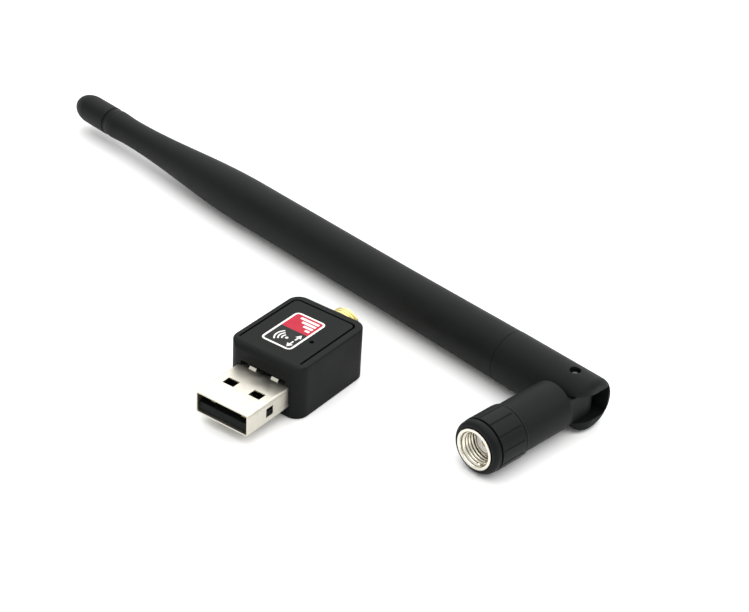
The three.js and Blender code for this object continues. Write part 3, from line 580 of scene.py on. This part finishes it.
# %% Make the lid
GROOVE_STOP = 2.0
BADGE_W, BADGE_X, BADGE_FRONT, BADGE_REAR, BADGE_R, BADGE_T = 7, -0.8, 4.2, 3.1, 1.0, 0.12
LAMP_X, LAMP_Y, LAMP_R = 4.0, 9.0, 0.48
lid_x = (opening_x[0] + LID_GROOVE, opening_x[1] - LID_GROOVE)
lid_rear = HOUSING_L - LID_REAR_RIM - LID_GROOVE
badge_x = (BADGE_X - BADGE_W / 2, BADGE_X + BADGE_W / 2)
badge_y = (BADGE_FRONT, lid_rear - BADGE_REAR)


plate = machined(
    box(lid_x, (-1, lid_rear), (lid_z, HOUSING_H + 1), rear=LID_CORNER_R),
    box(widened(opening_x, -HAIRLINE), (-1, GROOVE_STOP), (lid_z, HOUSING_H + 1)),
    how="UNION",
)
outline = box((-HOUSING_W / 2, HOUSING_W / 2), (0, HOUSING_L), (0, HOUSING_H), front=CORNER_R)
lid = machined(machined(plate, rolled_stock(), how="INTERSECT"), outline, how="INTERSECT")
lid = machined(
    lid,
    box(
        widened(badge_x, PLAY), widened(badge_y, PLAY), (HOUSING_H - BADGE_T, HOUSING_H + 1),
        front=BADGE_R + PLAY,
    ),
    placed(bar(lid_z - 1, HOUSING_H + 1, LAMP_R, sides=32), (LAMP_X, LAMP_Y, 0)),
)
set_down(lid, "lid", "adapter", "housing_plastic", ["housing_lid"], edge=0.04)

# %% [markdown]
# ## Badge
# The badge is a printed film with a white outline, a red field at the rear and a black one at the
# front. The film is one rounded plate: insetting its top face gives the outline, and a cut across
# the middle parts the two colours. The signs on it are plain pictograms that read from the
# right-hand side of the adapter: rising bars on the red field, and on the black one the common
# radio sign, a dot with three arcs, above a pair of arrows. Each sign is a film of ink with a
# real, tiny thickness.

# %% Make the badge film
OUTLINE, SIGN_T, SPLIT = 0.42, 0.02, 10.0
BLACK, RED, WHITE = range(3)
ink_z = (HOUSING_H - 2 * SIGN_T, HOUSING_H)


def inked(bm, index):
    for face in bm.faces:
        face.material_index = index
    return bm


def badge_film():
    film = box(badge_x, badge_y, (HOUSING_H - BADGE_T + 0.01, HOUSING_H - SIGN_T), front=BADGE_R)
    top = max(film.faces, key=lambda face: face.calc_center_median().z)
    ring = bmesh.ops.inset_region(film, faces=[top], thickness=OUTLINE, use_even_offset=True)["faces"]
    bmesh.ops.bisect_plane(
        film, geom=[top] + top.edges[:] + top.verts[:], plane_co=(0, SPLIT, 0), plane_no=(0, 1, 0),
    )
    for face in film.faces:
        face.material_index = RED if face.calc_center_median().y > SPLIT else BLACK
    for face in ring:
        face.material_index = WHITE
    return film


# %% Draw the signs and set the badge down
BAR_FILL, BAR_R, STEM_HALF = 0.62, 0.08, 0.17


def rising_bars(foot, start, height, across, count=4):
    """Bars that stand on x = foot and grow from left to right as the badge is read."""
    pitch = across / count
    return [
        inked(box(
            (foot - height * (index + 1) / count, foot),
            (start + index * pitch, start + (index + BAR_FILL) * pitch), ink_z, front=BAR_R, segments=3,
        ), WHITE)
        for index in range(count)
    ]


def radio_arc(radius, width):
    """A quarter ring that opens to the left, swept from a small upright section."""
    arc = bmesh.new()
    bmesh.ops.create_grid(arc, x_segments=1, y_segments=1, size=0.5)
    bmesh.ops.scale(arc, vec=(width, ink_z[1] - ink_z[0], 1), verts=arc.verts)
    swung(placed(swung(arc, math.pi / 2, "X"), (radius, 0, sum(ink_z) / 2)), math.radians(135), "Z")
    bmesh.ops.spin(
        arc, geom=arc.faces[:], cent=(0, 0, 0), axis=(0, 0, 1), angle=math.pi / 2, steps=24,
    )
    bmesh.ops.recalc_face_normals(arc, faces=arc.faces)
    return arc


def radio_sign(x, y, size):
    stroke = size * 0.13
    parts = [bar(*ink_z, stroke, sides=32)]
    parts += [radio_arc(size * reach, stroke) for reach in (0.36, 0.65, 0.94)]
    return [inked(placed(part, (x, y, 0)), WHITE) for part in parts]


def arrow(x, tail, head, size=0.75):
    """A three-sided head with a stem, pointing from tail to head along y."""
    way = 1 if head > tail else -1
    point = swung(bar(*ink_z, size, sides=3), way * math.pi / 2, "Z")
    stem = box((x - STEM_HALF, x + STEM_HALF), tuple(sorted((tail, head - way * size))), ink_z)
    return [inked(placed(point, (x, head - way * size, 0)), WHITE), inked(stem, WHITE)]


badge = gathered(
    badge_film(),
    *rising_bars(1.75, SPLIT + 0.85, 4.2, 3.9),
    *radio_sign(-0.35, 7.15, 2.45),
    *arrow(1.35, 7.0, 4.9),
    *arrow(1.35, 7.4, 9.5),
)
set_down(badge, "badge", "adapter", "badge_print", ["badge_label"])

# %% [markdown]
# ## USB plug shell
# The metal sleeve is one strip of thin sheet folded round into a flat tube, so its four long edges
# are soft bends and its seam shows as a hairline. We round a box, open both ends, give the skin the
# thickness of the sheet, and cut the latch windows. Two little lances stand up at the housing,
# punched from the sheet to hold the sleeve in the moulding.

# %% Make the plug shell
SHEET, PLUG_OUT, PLUG_IN, FOLD_R = 0.3, 11.4, 4.6, 0.45
WINDOW_W, WINDOW_L, WINDOW_X, WINDOW_Y, SIDE_WINDOW_H = 2.5, 1.9, 3.0, -PLUG_OUT + 5.2, 1.9
LANCE_W, LANCE_L, LANCE_FOOT, LANCE_CREST, LANCE_H, LANCE_X = 1.6, 0.7, 0.1, 0.2, 0.5, 2.55
plug_middle = PLUG_Z + PLUG_H / 2


def folded_sleeve():
    sleeve = bmesh.new()
    bmesh.ops.create_cube(sleeve, size=1)
    bmesh.ops.scale(sleeve, vec=(PLUG_W, PLUG_OUT + PLUG_IN, PLUG_H), verts=sleeve.verts)
    placed(sleeve, (0, (PLUG_IN - PLUG_OUT) / 2, plug_middle))
    long_edges = [edge for edge in sleeve.edges if abs(edge.verts[0].co.y - edge.verts[1].co.y) > 1]
    round_edges(sleeve, long_edges, FOLD_R, 6)
    ends = [face for face in sleeve.faces if abs(face.normal.y) > 0.9]
    bmesh.ops.delete(sleeve, geom=ends, context="FACES_ONLY")
    bmesh.ops.recalc_face_normals(sleeve, faces=sleeve.faces)
    bmesh.ops.solidify(sleeve, geom=sleeve.faces[:], thickness=SHEET)
    return sleeve


window_y = (WINDOW_Y, WINDOW_Y + WINDOW_L)
windows = [
    box((x - WINDOW_W / 2, x + WINDOW_W / 2), window_y, (PLUG_Z - 1, plug_top + 1))
    for x in (-WINDOW_X, WINDOW_X)
]
windows.append(box(
    (-PLUG_W, PLUG_W), window_y, (plug_middle - SIDE_WINDOW_H / 2, plug_middle + SIDE_WINDOW_H / 2),
))
seam = box((PLUG_W / 2 - 0.1, PLUG_W), (-PLUG_OUT - 1, PLUG_IN + 1), (plug_top - 0.62, plug_top - 0.56))


def lance(x):
    """A tab bent up from the sheet; leaning its front over makes the slope that faces the mouth."""
    rear = LANCE_L - LANCE_FOOT
    height = (plug_top - SHEET / 2, plug_top + LANCE_H)
    tab = box((x - LANCE_W / 2, x + LANCE_W / 2), (-LANCE_FOOT, rear), height)
    crest = [vert for vert in tab.verts if vert.co.y < 0 and vert.co.z > plug_top]
    bmesh.ops.translate(tab, vec=(0, LANCE_L - LANCE_CREST, 0), verts=crest)
    return tab


shell = gathered(machined(folded_sleeve(), *windows, seam), lance(-LANCE_X), lance(LANCE_X))
set_down(shell, "plug_shell", "adapter", "shell_nickel", ["usb_shell"], edge=0.035)

# %% [markdown]
# ## Tongue and contacts of the plug
# A black moulding fills the back of the sleeve and reaches forward as a thin tongue. Four gold
# strips lie on it and step up to the board behind. The block is milled from solid; a strip is a
# short chain of points pushed out sideways, given its thickness, and bent by its own outline.

# %% Make the tongue
TONGUE_T, TONGUE_BACK, BLOCK_FRONT, SEAT = 1.6, 0.5, 2.4, 0.15
CONTACT_W, CONTACT_T, CONTACT_BEND_R = 1, 0.25, 0.5
CONTACTS = [(-3.5, 1.8), (-1, 2.8), (1, 2.8), (3.5, 1.8)]  # place across, and setback from the mouth
tongue_z = PLUG_Z + SHEET + SNUG
tongue_top = PLUG_Z + SHEET + 0.3 + TONGUE_T
board_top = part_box("circuit_board")[1].z / MM
tongue_half = PLUG_W / 2 - SHEET - SNUG
tongue_x, tongue_rear = (-tongue_half, tongue_half), PLUG_IN - 0.3
tongue = box(tongue_x, (-PLUG_OUT + TONGUE_BACK, tongue_rear), (tongue_z, tongue_top))
block = box(tongue_x, (-BLOCK_FRONT, tongue_rear), (tongue_z, plug_top - SHEET - SNUG))
slots = [
    box((x - CONTACT_W / 2 - 0.2, x + CONTACT_W / 2 + 0.2), (-BLOCK_FRONT - 1, PLUG_IN + 1),
        (tongue_top - 0.001, board_top + SEAT + CONTACT_T + 0.3))
    for x, _ in CONTACTS
]
moulding = machined(machined(tongue, block, how="UNION"), *slots)
set_down(moulding, "plug_tongue", "adapter", "black_resin", ["usb_insulator"], edge=0.08)


# %% Make the four contacts
def of_kind(items, kind):
    return [item for item in items if isinstance(item, kind)]


def contact_strip(x, setback):
    strip = bmesh.new()
    low, high = tongue_top + SEAT, board_top + SEAT
    path = [(-PLUG_OUT + setback, low), (0.5, low), (2.5, high), (PLUG_IN + 1.8, high)]
    verts = [strip.verts.new((x - CONTACT_W / 2, y, z)) for y, z in path]
    edges = [strip.edges.new(pair) for pair in zip(verts, verts[1:])]
    round_corners(strip, verts[1:3], edges, CONTACT_BEND_R)
    ribbon = bmesh.ops.extrude_edge_only(strip, edges=strip.edges[:])["geom"]
    bmesh.ops.translate(strip, vec=(CONTACT_W, 0, 0), verts=of_kind(ribbon, bmesh.types.BMVert))
    bmesh.ops.recalc_face_normals(strip, faces=strip.faces)
    if sum(face.normal.z for face in strip.faces) > 0:
        bmesh.ops.reverse_faces(strip, faces=strip.faces)
    bmesh.ops.solidify(strip, geom=strip.faces[:], thickness=-CONTACT_T)
    bmesh.ops.recalc_face_normals(strip, faces=strip.faces)
    return strip


for number, (x, setback) in enumerate(CONTACTS, start=1):
    strip = contact_strip(x, setback)
    set_down(strip, f"contact_{number}", "adapter", "gold_plate", [f"usb_contact_{number}"], edge=0.05)

# %% [markdown]
# ## Screw threads
# A thread is one V-shaped ridge that winds along a barrel. Spin can climb while it turns: give it a
# step along the axis and it becomes the screw tool. We wind a small section with blunt crests
# around the barrel, sunk a little into the metal so that the two read as one surface.

# %% A thread winder
THREAD_DEPTH, THREAD_PITCH = 0.4, 0.7056


def thread(start, end, root, crest, direction=None, steps=40):
    """A ridge from root to crest radius that winds from start to end; it may point in or out."""
    ridge = bmesh.new()
    sunk = root + (root - crest) * 0.3
    half, tip = THREAD_PITCH * 0.46, THREAD_PITCH * 0.09
    first = start + half
    section = [(sunk, -half), (root, -half), (crest, -tip), (crest, tip), (root, half), (sunk, half)]
    corners = [ridge.verts.new((radius, 0, first + along)) for radius, along in section]
    face = ridge.faces.new(corners)
    climb = end - start - 2 * half
    turns = climb / THREAD_PITCH
    count = max(1, round(turns * steps))
    bmesh.ops.spin(
        ridge, geom=[face], cent=(0, 0, 0), axis=(0, 0, 1), angle=2 * math.pi * turns, steps=count,
        dvec=(0, 0, climb / count),
    )
    bmesh.ops.recalc_face_normals(ridge, faces=ridge.faces)
    return aimed(ridge, direction)


# %% [markdown]
# ## Antenna socket
# The gold socket is a turned barrel with a flange behind the wall and a thread outside. In its
# mouth sits a white insulator with a thin pin. A reverse-polarity socket like this has its pin on
# the outer-threaded half.

# %% Make the socket
SOCKET_OUT, FLANGE_R, FLANGE_T, THREAD_START = 5.6, 3.8, 1.6, 0.4
BORE_R, BORE_DEPTH, CORE_R, PIN_R = 2.3, 2.0, 2.0, 0.45
socket_front = -WALL - 0.3
socket_back = socket_front - FLANGE_T
bore_end = SOCKET_OUT - BORE_DEPTH
thread_root = THREAD_R - THREAD_DEPTH
barrel = turned([
    (socket_back, CORE_R), (socket_back, FLANGE_R, 0.1), (socket_front, FLANGE_R, 0.1),
    (socket_front, THREAD_R - 0.15), (THREAD_START, THREAD_R - 0.15, 0.05), (THREAD_START, thread_root),
    (SOCKET_OUT, thread_root, 0.15), (SOCKET_OUT, BORE_R, 0.08), (bore_end, BORE_R), (bore_end, CORE_R),
], TO_REAR)
winding = thread(THREAD_START, SOCKET_OUT - 0.35, thread_root, THREAD_R, TO_REAR)
socket_place = (SOCKET_X, HOUSING_L, SOCKET_Z)
barrel = placed(gathered(barrel, winding), socket_place)
set_down(barrel, "socket_barrel", "adapter", "gold_plate", ["antenna_socket"])
insulator = turned([
    (socket_back, PIN_R + 0.15), (socket_back, CORE_R - PLAY), (bore_end, CORE_R - PLAY, 0.1),
    (bore_end, PIN_R + 0.15, 0.06),
], TO_REAR, sides=48)
set_down(placed(insulator, socket_place), "socket_core", "adapter", "white_resin", ["socket_insulator"])
pin = turned([
    (socket_back - 2.5, 0), (socket_back - 2.5, PIN_R, 0.1), (SOCKET_OUT - 0.5, PIN_R, 0.3),
    (SOCKET_OUT - 0.5, 0),
], TO_REAR, sides=32)
set_down(placed(pin, socket_place), "socket_centre_pin", "adapter", "gold_plate", ["socket_pin"])

# %% [markdown]
# ## Mast
# The whip is a long moulded tube: straight for two thirds, then a smooth taper to a slim neck that
# flares by a hair under the cap. It swells a little towards its seam with the knuckle. A cosine
# gives the taper an even start and finish. The outline runs out along the skin and back along the
# bore, so one spin makes the whole tube with its wall.

# %% Make the mast sheath
TIP, SEAM, MAST_R, NECK_R, TIP_R = 151.6, 15.6, 5.0, 3.07, 3.27
MAST_SWELL, SWELL_LENGTH = 0.25, 30
CAP_LENGTH, CAP_BAND, CAP_BAND_DEPTH, CAP_DOME, CAP_SPIGOT = 12.4, 2.0, 0.1, 5.0, 8.0
NECK_LENGTH, TAPER_LENGTH, FLARE_GAP, FLARE_REST, SHEATH_WALL, SPIGOT = 19.8, 41.5, 1, 0.4, 0.9, 8.5
sheath_end = TIP - CAP_LENGTH - CAP_BAND
taper_end = TIP - NECK_LENGTH
taper_start = taper_end - TAPER_LENGTH


def share(distance, start, end):
    return min(1, max(0, (distance - start) / (end - start)))


def mast_radius(distance):
    taper = 0.5 + 0.5 * math.cos(math.pi * share(distance, taper_start, taper_end))
    flare = share(distance, taper_end + FLARE_GAP, sheath_end - FLARE_REST)
    flare = flare * flare * (3 - 2 * flare)
    swell = 1 - share(distance, SEAM, SEAM + SWELL_LENGTH)
    return NECK_R + (MAST_R - NECK_R) * taper + (TIP_R - NECK_R) * flare + MAST_SWELL * swell


def stations(step):
    count = round((sheath_end - taper_start) / step)
    return [taper_start + (sheath_end - taper_start) * index / count for index in range(count)]


skin = [(distance, mast_radius(distance)) for distance in stations(1.2)]
bore = [(distance, mast_radius(distance) - SHEATH_WALL) for distance in stations(6)]
seam_r, spigot_bore = mast_radius(SEAM), mast_radius(SEAM + SPIGOT) - SHEATH_WALL
sheath = turned(
    [(SEAM, seam_r - SHEATH_WALL), (SEAM, seam_r, 0.12), (SEAM + SWELL_LENGTH, MAST_R)] + skin
    + [(sheath_end, TIP_R, 0.08), (sheath_end, TIP_R - SHEATH_WALL)] + bore[::-1],
    TO_TIP, sides=112,
)
set_down(sheath, "mast_tube", "mast", "mast_plastic", ["mast_sheath"])

# %% [markdown]
# ## Tip cap
# A cap plugs the thin end. Two fine rings mark its joint: a shallow band lies between them, where
# the spigot of the cap just shows. The end is a soft dome, half of an ellipse worked out by angle.

# %% Make the cap
RING_W = 0.04
head_start, collar_start = sheath_end + CAP_BAND, sheath_end + HAIRLINE
band_r, ring_r = TIP_R - CAP_BAND_DEPTH, TIP_R - 2 * CAP_BAND_DEPTH
spigot_r = NECK_R - SHEATH_WALL - PLAY
dome = [
    (TIP - CAP_DOME + CAP_DOME * math.sin(angle), TIP_R * math.cos(angle))
    for angle in (math.pi / 2 * step / 14 for step in range(14))
]
cap = turned([
    (sheath_end - CAP_SPIGOT, 0), (sheath_end - CAP_SPIGOT, spigot_r, 0.3), (collar_start, spigot_r),
    (collar_start, TIP_R, 0.08), (sheath_end + 0.12, TIP_R, 0.05), (sheath_end + 0.16, band_r),
    (head_start - RING_W, band_r), (head_start - RING_W, ring_r), (head_start, ring_r),
    (head_start, TIP_R, 0.1),
] + dome + [(TIP, 0)], TO_TIP)
set_down(cap, "cap", "mast", "mast_plastic", ["tip_cap"])

# %% [markdown]
# ## Knuckle
# The knuckle is a turned plug that fills the end of the mast. A wide slot turns its end into a
# fork for the elbow, open to the side and to the end so that the elbow can swing a quarter turn.
# We turn the body, mill the slot, round the corner of the cheeks about the pin, and drill.

# %% Make the knuckle
KNUCKLE_R, CHEEK, BACK_WALL, FORK_END = 5.3, 2.4, 1.4, 5.3
HINGE_PIN_R, COAX_R, PIN_PLAY, COAX_PLAY, END_R = 1.0, 0.65, 0.08, 0.35, 1.3
slot_half = KNUCKLE_R - CHEEK
slot_back = KNUCKLE_R - BACK_WALL
FAR = 30
fork = turned([
    (-FORK_END, 0), (-FORK_END, KNUCKLE_R, END_R), (SEAM - HAIRLINE, KNUCKLE_R, 0.2),
    (SEAM - HAIRLINE, spigot_bore - PLAY), (SEAM + SPIGOT, spigot_bore - PLAY, 0.3), (SEAM + SPIGOT, 0),
], TO_TIP, sides=112)
corner = machined(box((0, FAR), (-FAR, 0), (-FAR, FAR)), bar(-FAR - 1, FAR + 1, FORK_END, sides=96))
fork = machined(
    fork,
    box((-slot_back, FAR), (-FAR, slot_back), (-slot_half, slot_half)),
    corner,
    bar(-FAR, FAR, HINGE_PIN_R + PIN_PLAY, sides=64),
    bar(0, FAR, COAX_R + COAX_PLAY, TO_TIP),
)
set_down(fork, "knuckle", "mast", "mast_plastic", ["knuckle_fork"], edge=0.18, angle=40)

# %% [markdown]
# ## Hinge pins
# Two short stub pins carry the elbow, one in each cheek, so that the cable can pass between them.
# Their outer ends sit a little below the cheeks and are domed, which gives the small glint in each
# recess.

# %% Make the pins
PIN_RECESS, PIN_DOME, SLIT = 0.55, 0.5, 2.4


def domed_pin():
    outer, low = KNUCKLE_R - PIN_RECESS, SLIT / 2 + 0.2
    crown = [
        (outer - PIN_DOME + PIN_DOME * math.sin(angle), HINGE_PIN_R * math.cos(angle))
        for angle in (math.pi / 2 * step / 8 for step in range(8))
    ]
    return turned([(low, 0), (low, HINGE_PIN_R, 0.1)] + crown + [(outer, 0)], sides=48)


set_down(domed_pin(), "pin_top", "mast", "dark_steel", ["hinge_pin_top"])
set_down(aimed(domed_pin(), Vector((0, 0, -1))), "pin_bottom", "mast", "dark_steel", ["hinge_pin_bottom"])

# %% [markdown]
# ## Elbow
# The elbow is a round plug with a flat tongue that turns in the fork. Its eye is slit at the end
# and on the side it folds towards, so that the cable can bend with the joint. Round body, tongue
# and eye are joined, then slit and bored.

# %% Make the elbow
BASE_R, BASE_LENGTH, SLIT_DEPTH, SHANK_R, SHANK, EYE_PLAY = 4.85, 11.8, 2.2, 2.75, 6.0, 0.2
shoulder = KNUCKLE_R + 0.15
base_end = shoulder + BASE_LENGTH
skirt_end = base_end + 0.15
eye_half, eye_r = slot_half - EYE_PLAY, slot_back - EYE_PLAY
elbow = machined(
    turned([(shoulder, 0), (shoulder, BASE_R, 0.35), (skirt_end, BASE_R, 0.1), (skirt_end, 0)], TO_PLUG),
    box((-eye_r, eye_r), (-shoulder - 1, 0), (-eye_half, eye_half)),
    bar(-eye_half, eye_half, eye_r, sides=96),
    how="UNION",
)
elbow = machined(
    elbow,
    box((-FAR, SLIT / 2), (-SLIT_DEPTH, FAR), (-SLIT / 2, SLIT / 2)),
    bar(0, base_end - SHANK + 1, COAX_R + COAX_PLAY, TO_PLUG),
    bar(base_end - SHANK, base_end + 1, SHANK_R + PLAY, TO_PLUG, sides=64),
    bar(-FAR, FAR, HINGE_PIN_R + PIN_PLAY, sides=64),
)
set_down(elbow, "elbow", "elbow", "mast_plastic", ["elbow_base"], edge=0.1, angle=40)

# %% [markdown]
# ## Screw plug: grip and nut
# Fingers turn the black grip, which is moulded on the metal nut. It is round, with a thin flange at
# the rear, twelve fine grooves along it, a ring groove and a smooth collar in front. The body is
# turned with its bore in one outline, and twelve thin bars in a circle cut the grooves.

# %% Make the grip
GRIP_R, GRIP_LENGTH, GRIP_GROOVES, GRIP_FLANGE, GRIP_COLLAR = 5.2, 8.45, 12, 0.45, 1.5
COLLAR_GROOVE, COLLAR_GROOVE_R, COLLAR_TIP_R, NUT_R, RIM_OUT = 0.35, 4.75, 4.6, 3.95, 0.3
GROOVE_R, FLANGE_LINE = 0.17, 0.14
grip_start = base_end + 0.3
grip_end = grip_start + GRIP_LENGTH
ring_end = grip_end - GRIP_COLLAR
nut_front = grip_end + RIM_OUT
grip_bore = NUT_R + PLAY
flange = grip_start + GRIP_FLANGE
flange_r = GRIP_R - SNUG
line_end, line_r = flange + FLANGE_LINE, GRIP_R - FLANGE_LINE - SNUG
ring_start = ring_end - COLLAR_GROOVE
grip_body = turned([
    (grip_start, grip_bore), (grip_start, flange_r, 0.12), (flange, flange_r), (flange, line_r),
    (line_end, line_r), (line_end, GRIP_R, 0.05), (ring_start, GRIP_R, 0.1), (ring_start, COLLAR_GROOVE_R),
    (ring_end, COLLAR_GROOVE_R), (ring_end, flange_r, 0.12), (grip_end - 0.5, GRIP_R - 0.15, 0.3),
    (grip_end, COLLAR_TIP_R, 0.15), (grip_end, grip_bore),
], TO_PLUG, sides=144)


def groove_bars():
    bars = []
    for index in range(GRIP_GROOVES):
        cutter = bar(flange + 0.7, ring_start + 0.2, GROOVE_R, TO_PLUG, sides=12)
        placed(cutter, (GRIP_R + HAIRLINE, 0, 0))
        bars.append(swung(cutter, 2 * math.pi * (index + 0.5) / GRIP_GROOVES, "Y"))
    return gathered(*bars)


grip = machined(grip_body, groove_bars())
set_down(grip, "grip", "nut", "grip_plastic", ["grip_sleeve"], edge=0.03, angle=40)

# %% [markdown]
# ## Coupling nut
# The bright rim in front of the grip belongs to the nut. Its thread runs inside, so the winding
# points inwards here.

# %% Make the nut
NUT_MOUTH_R, NUT_MOUTH, NUT_WALL, NECK_BORE, RELIEF_R, THREAD_LENGTH = 3.45, 0.35, 1.4, 2.25, 3.3, 4.4
nut_back = grip_start + 0.35
nut_major = THREAD_R + HAIRLINE
mouth, relief, web = nut_front - NUT_MOUTH, nut_front - THREAD_LENGTH, nut_back + NUT_WALL
nut_body = turned([
    (nut_back, NECK_BORE), (nut_back, NUT_R, 0.1), (nut_front, NUT_R, 0.1), (nut_front, NUT_MOUTH_R, 0.06),
    (mouth, nut_major), (relief, nut_major), (relief, RELIEF_R), (web, RELIEF_R), (web, NECK_BORE),
], TO_PLUG)
nut_thread = thread(relief, mouth, nut_major, nut_major - THREAD_DEPTH + SNUG, TO_PLUG)
set_down(gathered(nut_body, nut_thread), "nut", "nut", "plug_nickel", ["coupling_nut"])

# %% [markdown]
# ## Heart of the screw plug
# Deep in the nut sits the plug's own barrel with a white insulator and a gold centre contact, which
# is a little socket for the adapter's pin. All three are turned.

# %% Make the barrel, its insulator and its contact
BARREL_R, BARREL_WALL, BARREL_RECESS = 2.28, 0.22, 2.7
BODY_NECK_R, BODY_FLANGE_T, PLUG_CORE_R, GASKET, END_PLAY = 2.0, 0.7, 1.4, 0.6, 0.15
CONTACT_R, CONTACT_BORE_R, CONTACT_BORE = 0.6, 0.47, 3
shank_start = base_end - SHANK
flange_start = web + END_PLAY + GASKET + END_PLAY
flange_end = flange_start + BODY_FLANGE_T
barrel_front = nut_front - BARREL_RECESS
core_start, plug_core_start = flange_start + BODY_FLANGE_T / 2, base_end + 1
core = BARREL_R - BARREL_WALL
coax_bore = COAX_R + PLAY
body = turned([
    (shank_start, coax_bore), (shank_start, SHANK_R, 0.2), (base_end, SHANK_R, 0.05),
    (base_end, BODY_NECK_R), (flange_start, BODY_NECK_R), (flange_start, SHANK_R, 0.08),
    (flange_end, SHANK_R, 0.08), (flange_end, BARREL_R), (barrel_front, BARREL_R, 0.06),
    (barrel_front, core, 0.06), (core_start, core), (core_start, PLUG_CORE_R), (plug_core_start, PLUG_CORE_R),
    (plug_core_start, coax_bore),
], TO_PLUG)
set_down(body, "plug_barrel", "elbow", "plug_nickel", ["plug_body"])
disc_back, disc_step, disc_front = plug_core_start + END_PLAY, core_start + END_PLAY, barrel_front - 0.2
disc_bore, disc_r = CONTACT_R + PLAY, core - PLAY
disc = turned([
    (disc_back, disc_bore), (disc_back, PLUG_CORE_R - PLAY), (disc_step, PLUG_CORE_R - PLAY),
    (disc_step, disc_r), (disc_front, disc_r, 0.12), (disc_front, disc_bore, 0.05),
], TO_PLUG, sides=64)
set_down(disc, "plug_core", "elbow", "white_resin", ["plug_insulator"])
contact_front = barrel_front - 0.35
contact_floor = contact_front - CONTACT_BORE
socket_contact = turned([
    (disc_back, 0), (disc_back, CONTACT_R), (contact_front, CONTACT_R, 0.05),
    (contact_front, CONTACT_BORE_R, 0.04), (contact_floor, CONTACT_BORE_R), (contact_floor, 0),
], TO_PLUG, sides=40)
set_down(socket_contact, "plug_centre_contact", "elbow", "gold_plate", ["plug_contact"])

# %% [markdown]
# ## Coax through the hinge
# The thin cable runs up the mast and through the elbow, and it must bend each time the elbow
# swings. Its round section is pushed along the elbow, swung through a quarter turn, and pushed on
# up the mast. The piece is set down once in this straight pose and is not attached to the elbow or
# the mast.

# %% Make the coax
BEND_R, BEND_REACH = 1.6, 2.4
coax_start = plug_core_start - HAIRLINE
coax_end = -(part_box("coax_cable")[0].x - hinge.x) / MM


def coax():
    cable = bmesh.new()
    bmesh.ops.create_circle(cable, cap_ends=False, radius=COAX_R, segments=16)
    placed(aimed(cable, TO_REAR), (0, -coax_start, 0))

    def push(edges, vec, steps):
        for _ in range(steps):
            made = bmesh.ops.extrude_edge_only(cable, edges=edges)["geom"]
            moved = of_kind(made, bmesh.types.BMVert)
            edges = of_kind(made, bmesh.types.BMEdge)
            edges = [edge for edge in edges if all(vert in moved for vert in edge.verts)]
            bmesh.ops.translate(cable, vec=Vector(vec) / steps, verts=moved)
        return edges

    ring = cable.edges[:]
    end_caps = [ring]
    ring = push(ring, (0, coax_start - BEND_R, 0), 12)
    bend = bmesh.ops.spin(
        cable, geom=ring, cent=(-BEND_R, -BEND_R, 0), axis=(0, 0, 1), angle=math.pi / 2, steps=10,
    )["geom_last"]
    ring = of_kind(bend, bmesh.types.BMEdge)
    end_caps.append(push(ring, (-(coax_end - BEND_R), 0, 0), 24))
    for cap_ring in end_caps:
        bmesh.ops.contextual_create(cable, geom=cap_ring)
    bmesh.ops.recalc_face_normals(cable, faces=cable.faces)
    return cable


cable = real_object(coax(), "coax", HINGE, "cable_jacket")
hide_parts("coax_cable", "coax_tail")
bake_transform(cable)

# %% [markdown]
# ## Finishes for the inner pieces
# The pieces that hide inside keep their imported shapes: board, chips, radiator, beads and ring. Each
# node's material slot says what it is made of.

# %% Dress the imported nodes
for subpart in record["subparts"]:
    mesh = frame["nodes"][subpart["node"]].data
    mesh.materials.clear()
    mesh.materials.append(FINISHES[subpart["material_slot"]][0])
print("dressed", len(record["subparts"]), "packed nodes")

# %% [markdown]
# ## Studio
# The table is a plain pale sheet that runs out of sight. One very large soft light stands high above
# and behind the object, so shadows fall softly towards us, and the room itself is an even white, which
# lights the dark plastic from every side and lets the pale table burn out.

# %% Table and light
TABLE_HALF, LIGHT_DISTANCE = 4, 0.6


def studio_table():
    sheet = bmesh.new()
    bmesh.ops.create_grid(sheet, x_segments=8, y_segments=8, size=TABLE_HALF)
    table = as_object(sheet, "studio_table")
    paper = Finish("studio_paper")
    fibre = paper.noise(0.8, detail=3)
    paper.done((0.9, 0.9, 0.895, 1), 0.9, paper.bump(fibre, 0.002))
    table.data.materials.append(paper.material)


def soft_light(name, energy, towards, angle):
    data = bpy.data.lights.new(name, "SUN")
    data.energy, data.angle = energy, math.radians(angle)
    light = linked(name, data)
    light.location = towards.normalized() * LIGHT_DISTANCE
    light.rotation_mode = "QUATERNION"
    light.rotation_quaternion = towards.normalized().to_track_quat("Z", "Y")


studio_table()
away = Vector((-backward.x, -backward.y, 0)).normalized()
soft_light("window_light", 3.0, Vector((0, 0, 1.3)) + level * 0.3 + away * 0.35, angle=110)
world = bpy.data.worlds.new("studio_room")
world.use_nodes = True
room = world.node_tree.nodes["Background"]
room.inputs["Color"].default_value = (1, 1, 1, 1)
room.inputs["Strength"].default_value = 0.9
bpy.context.scene.world = world
bpy.context.scene.view_settings.view_transform = "Standard"
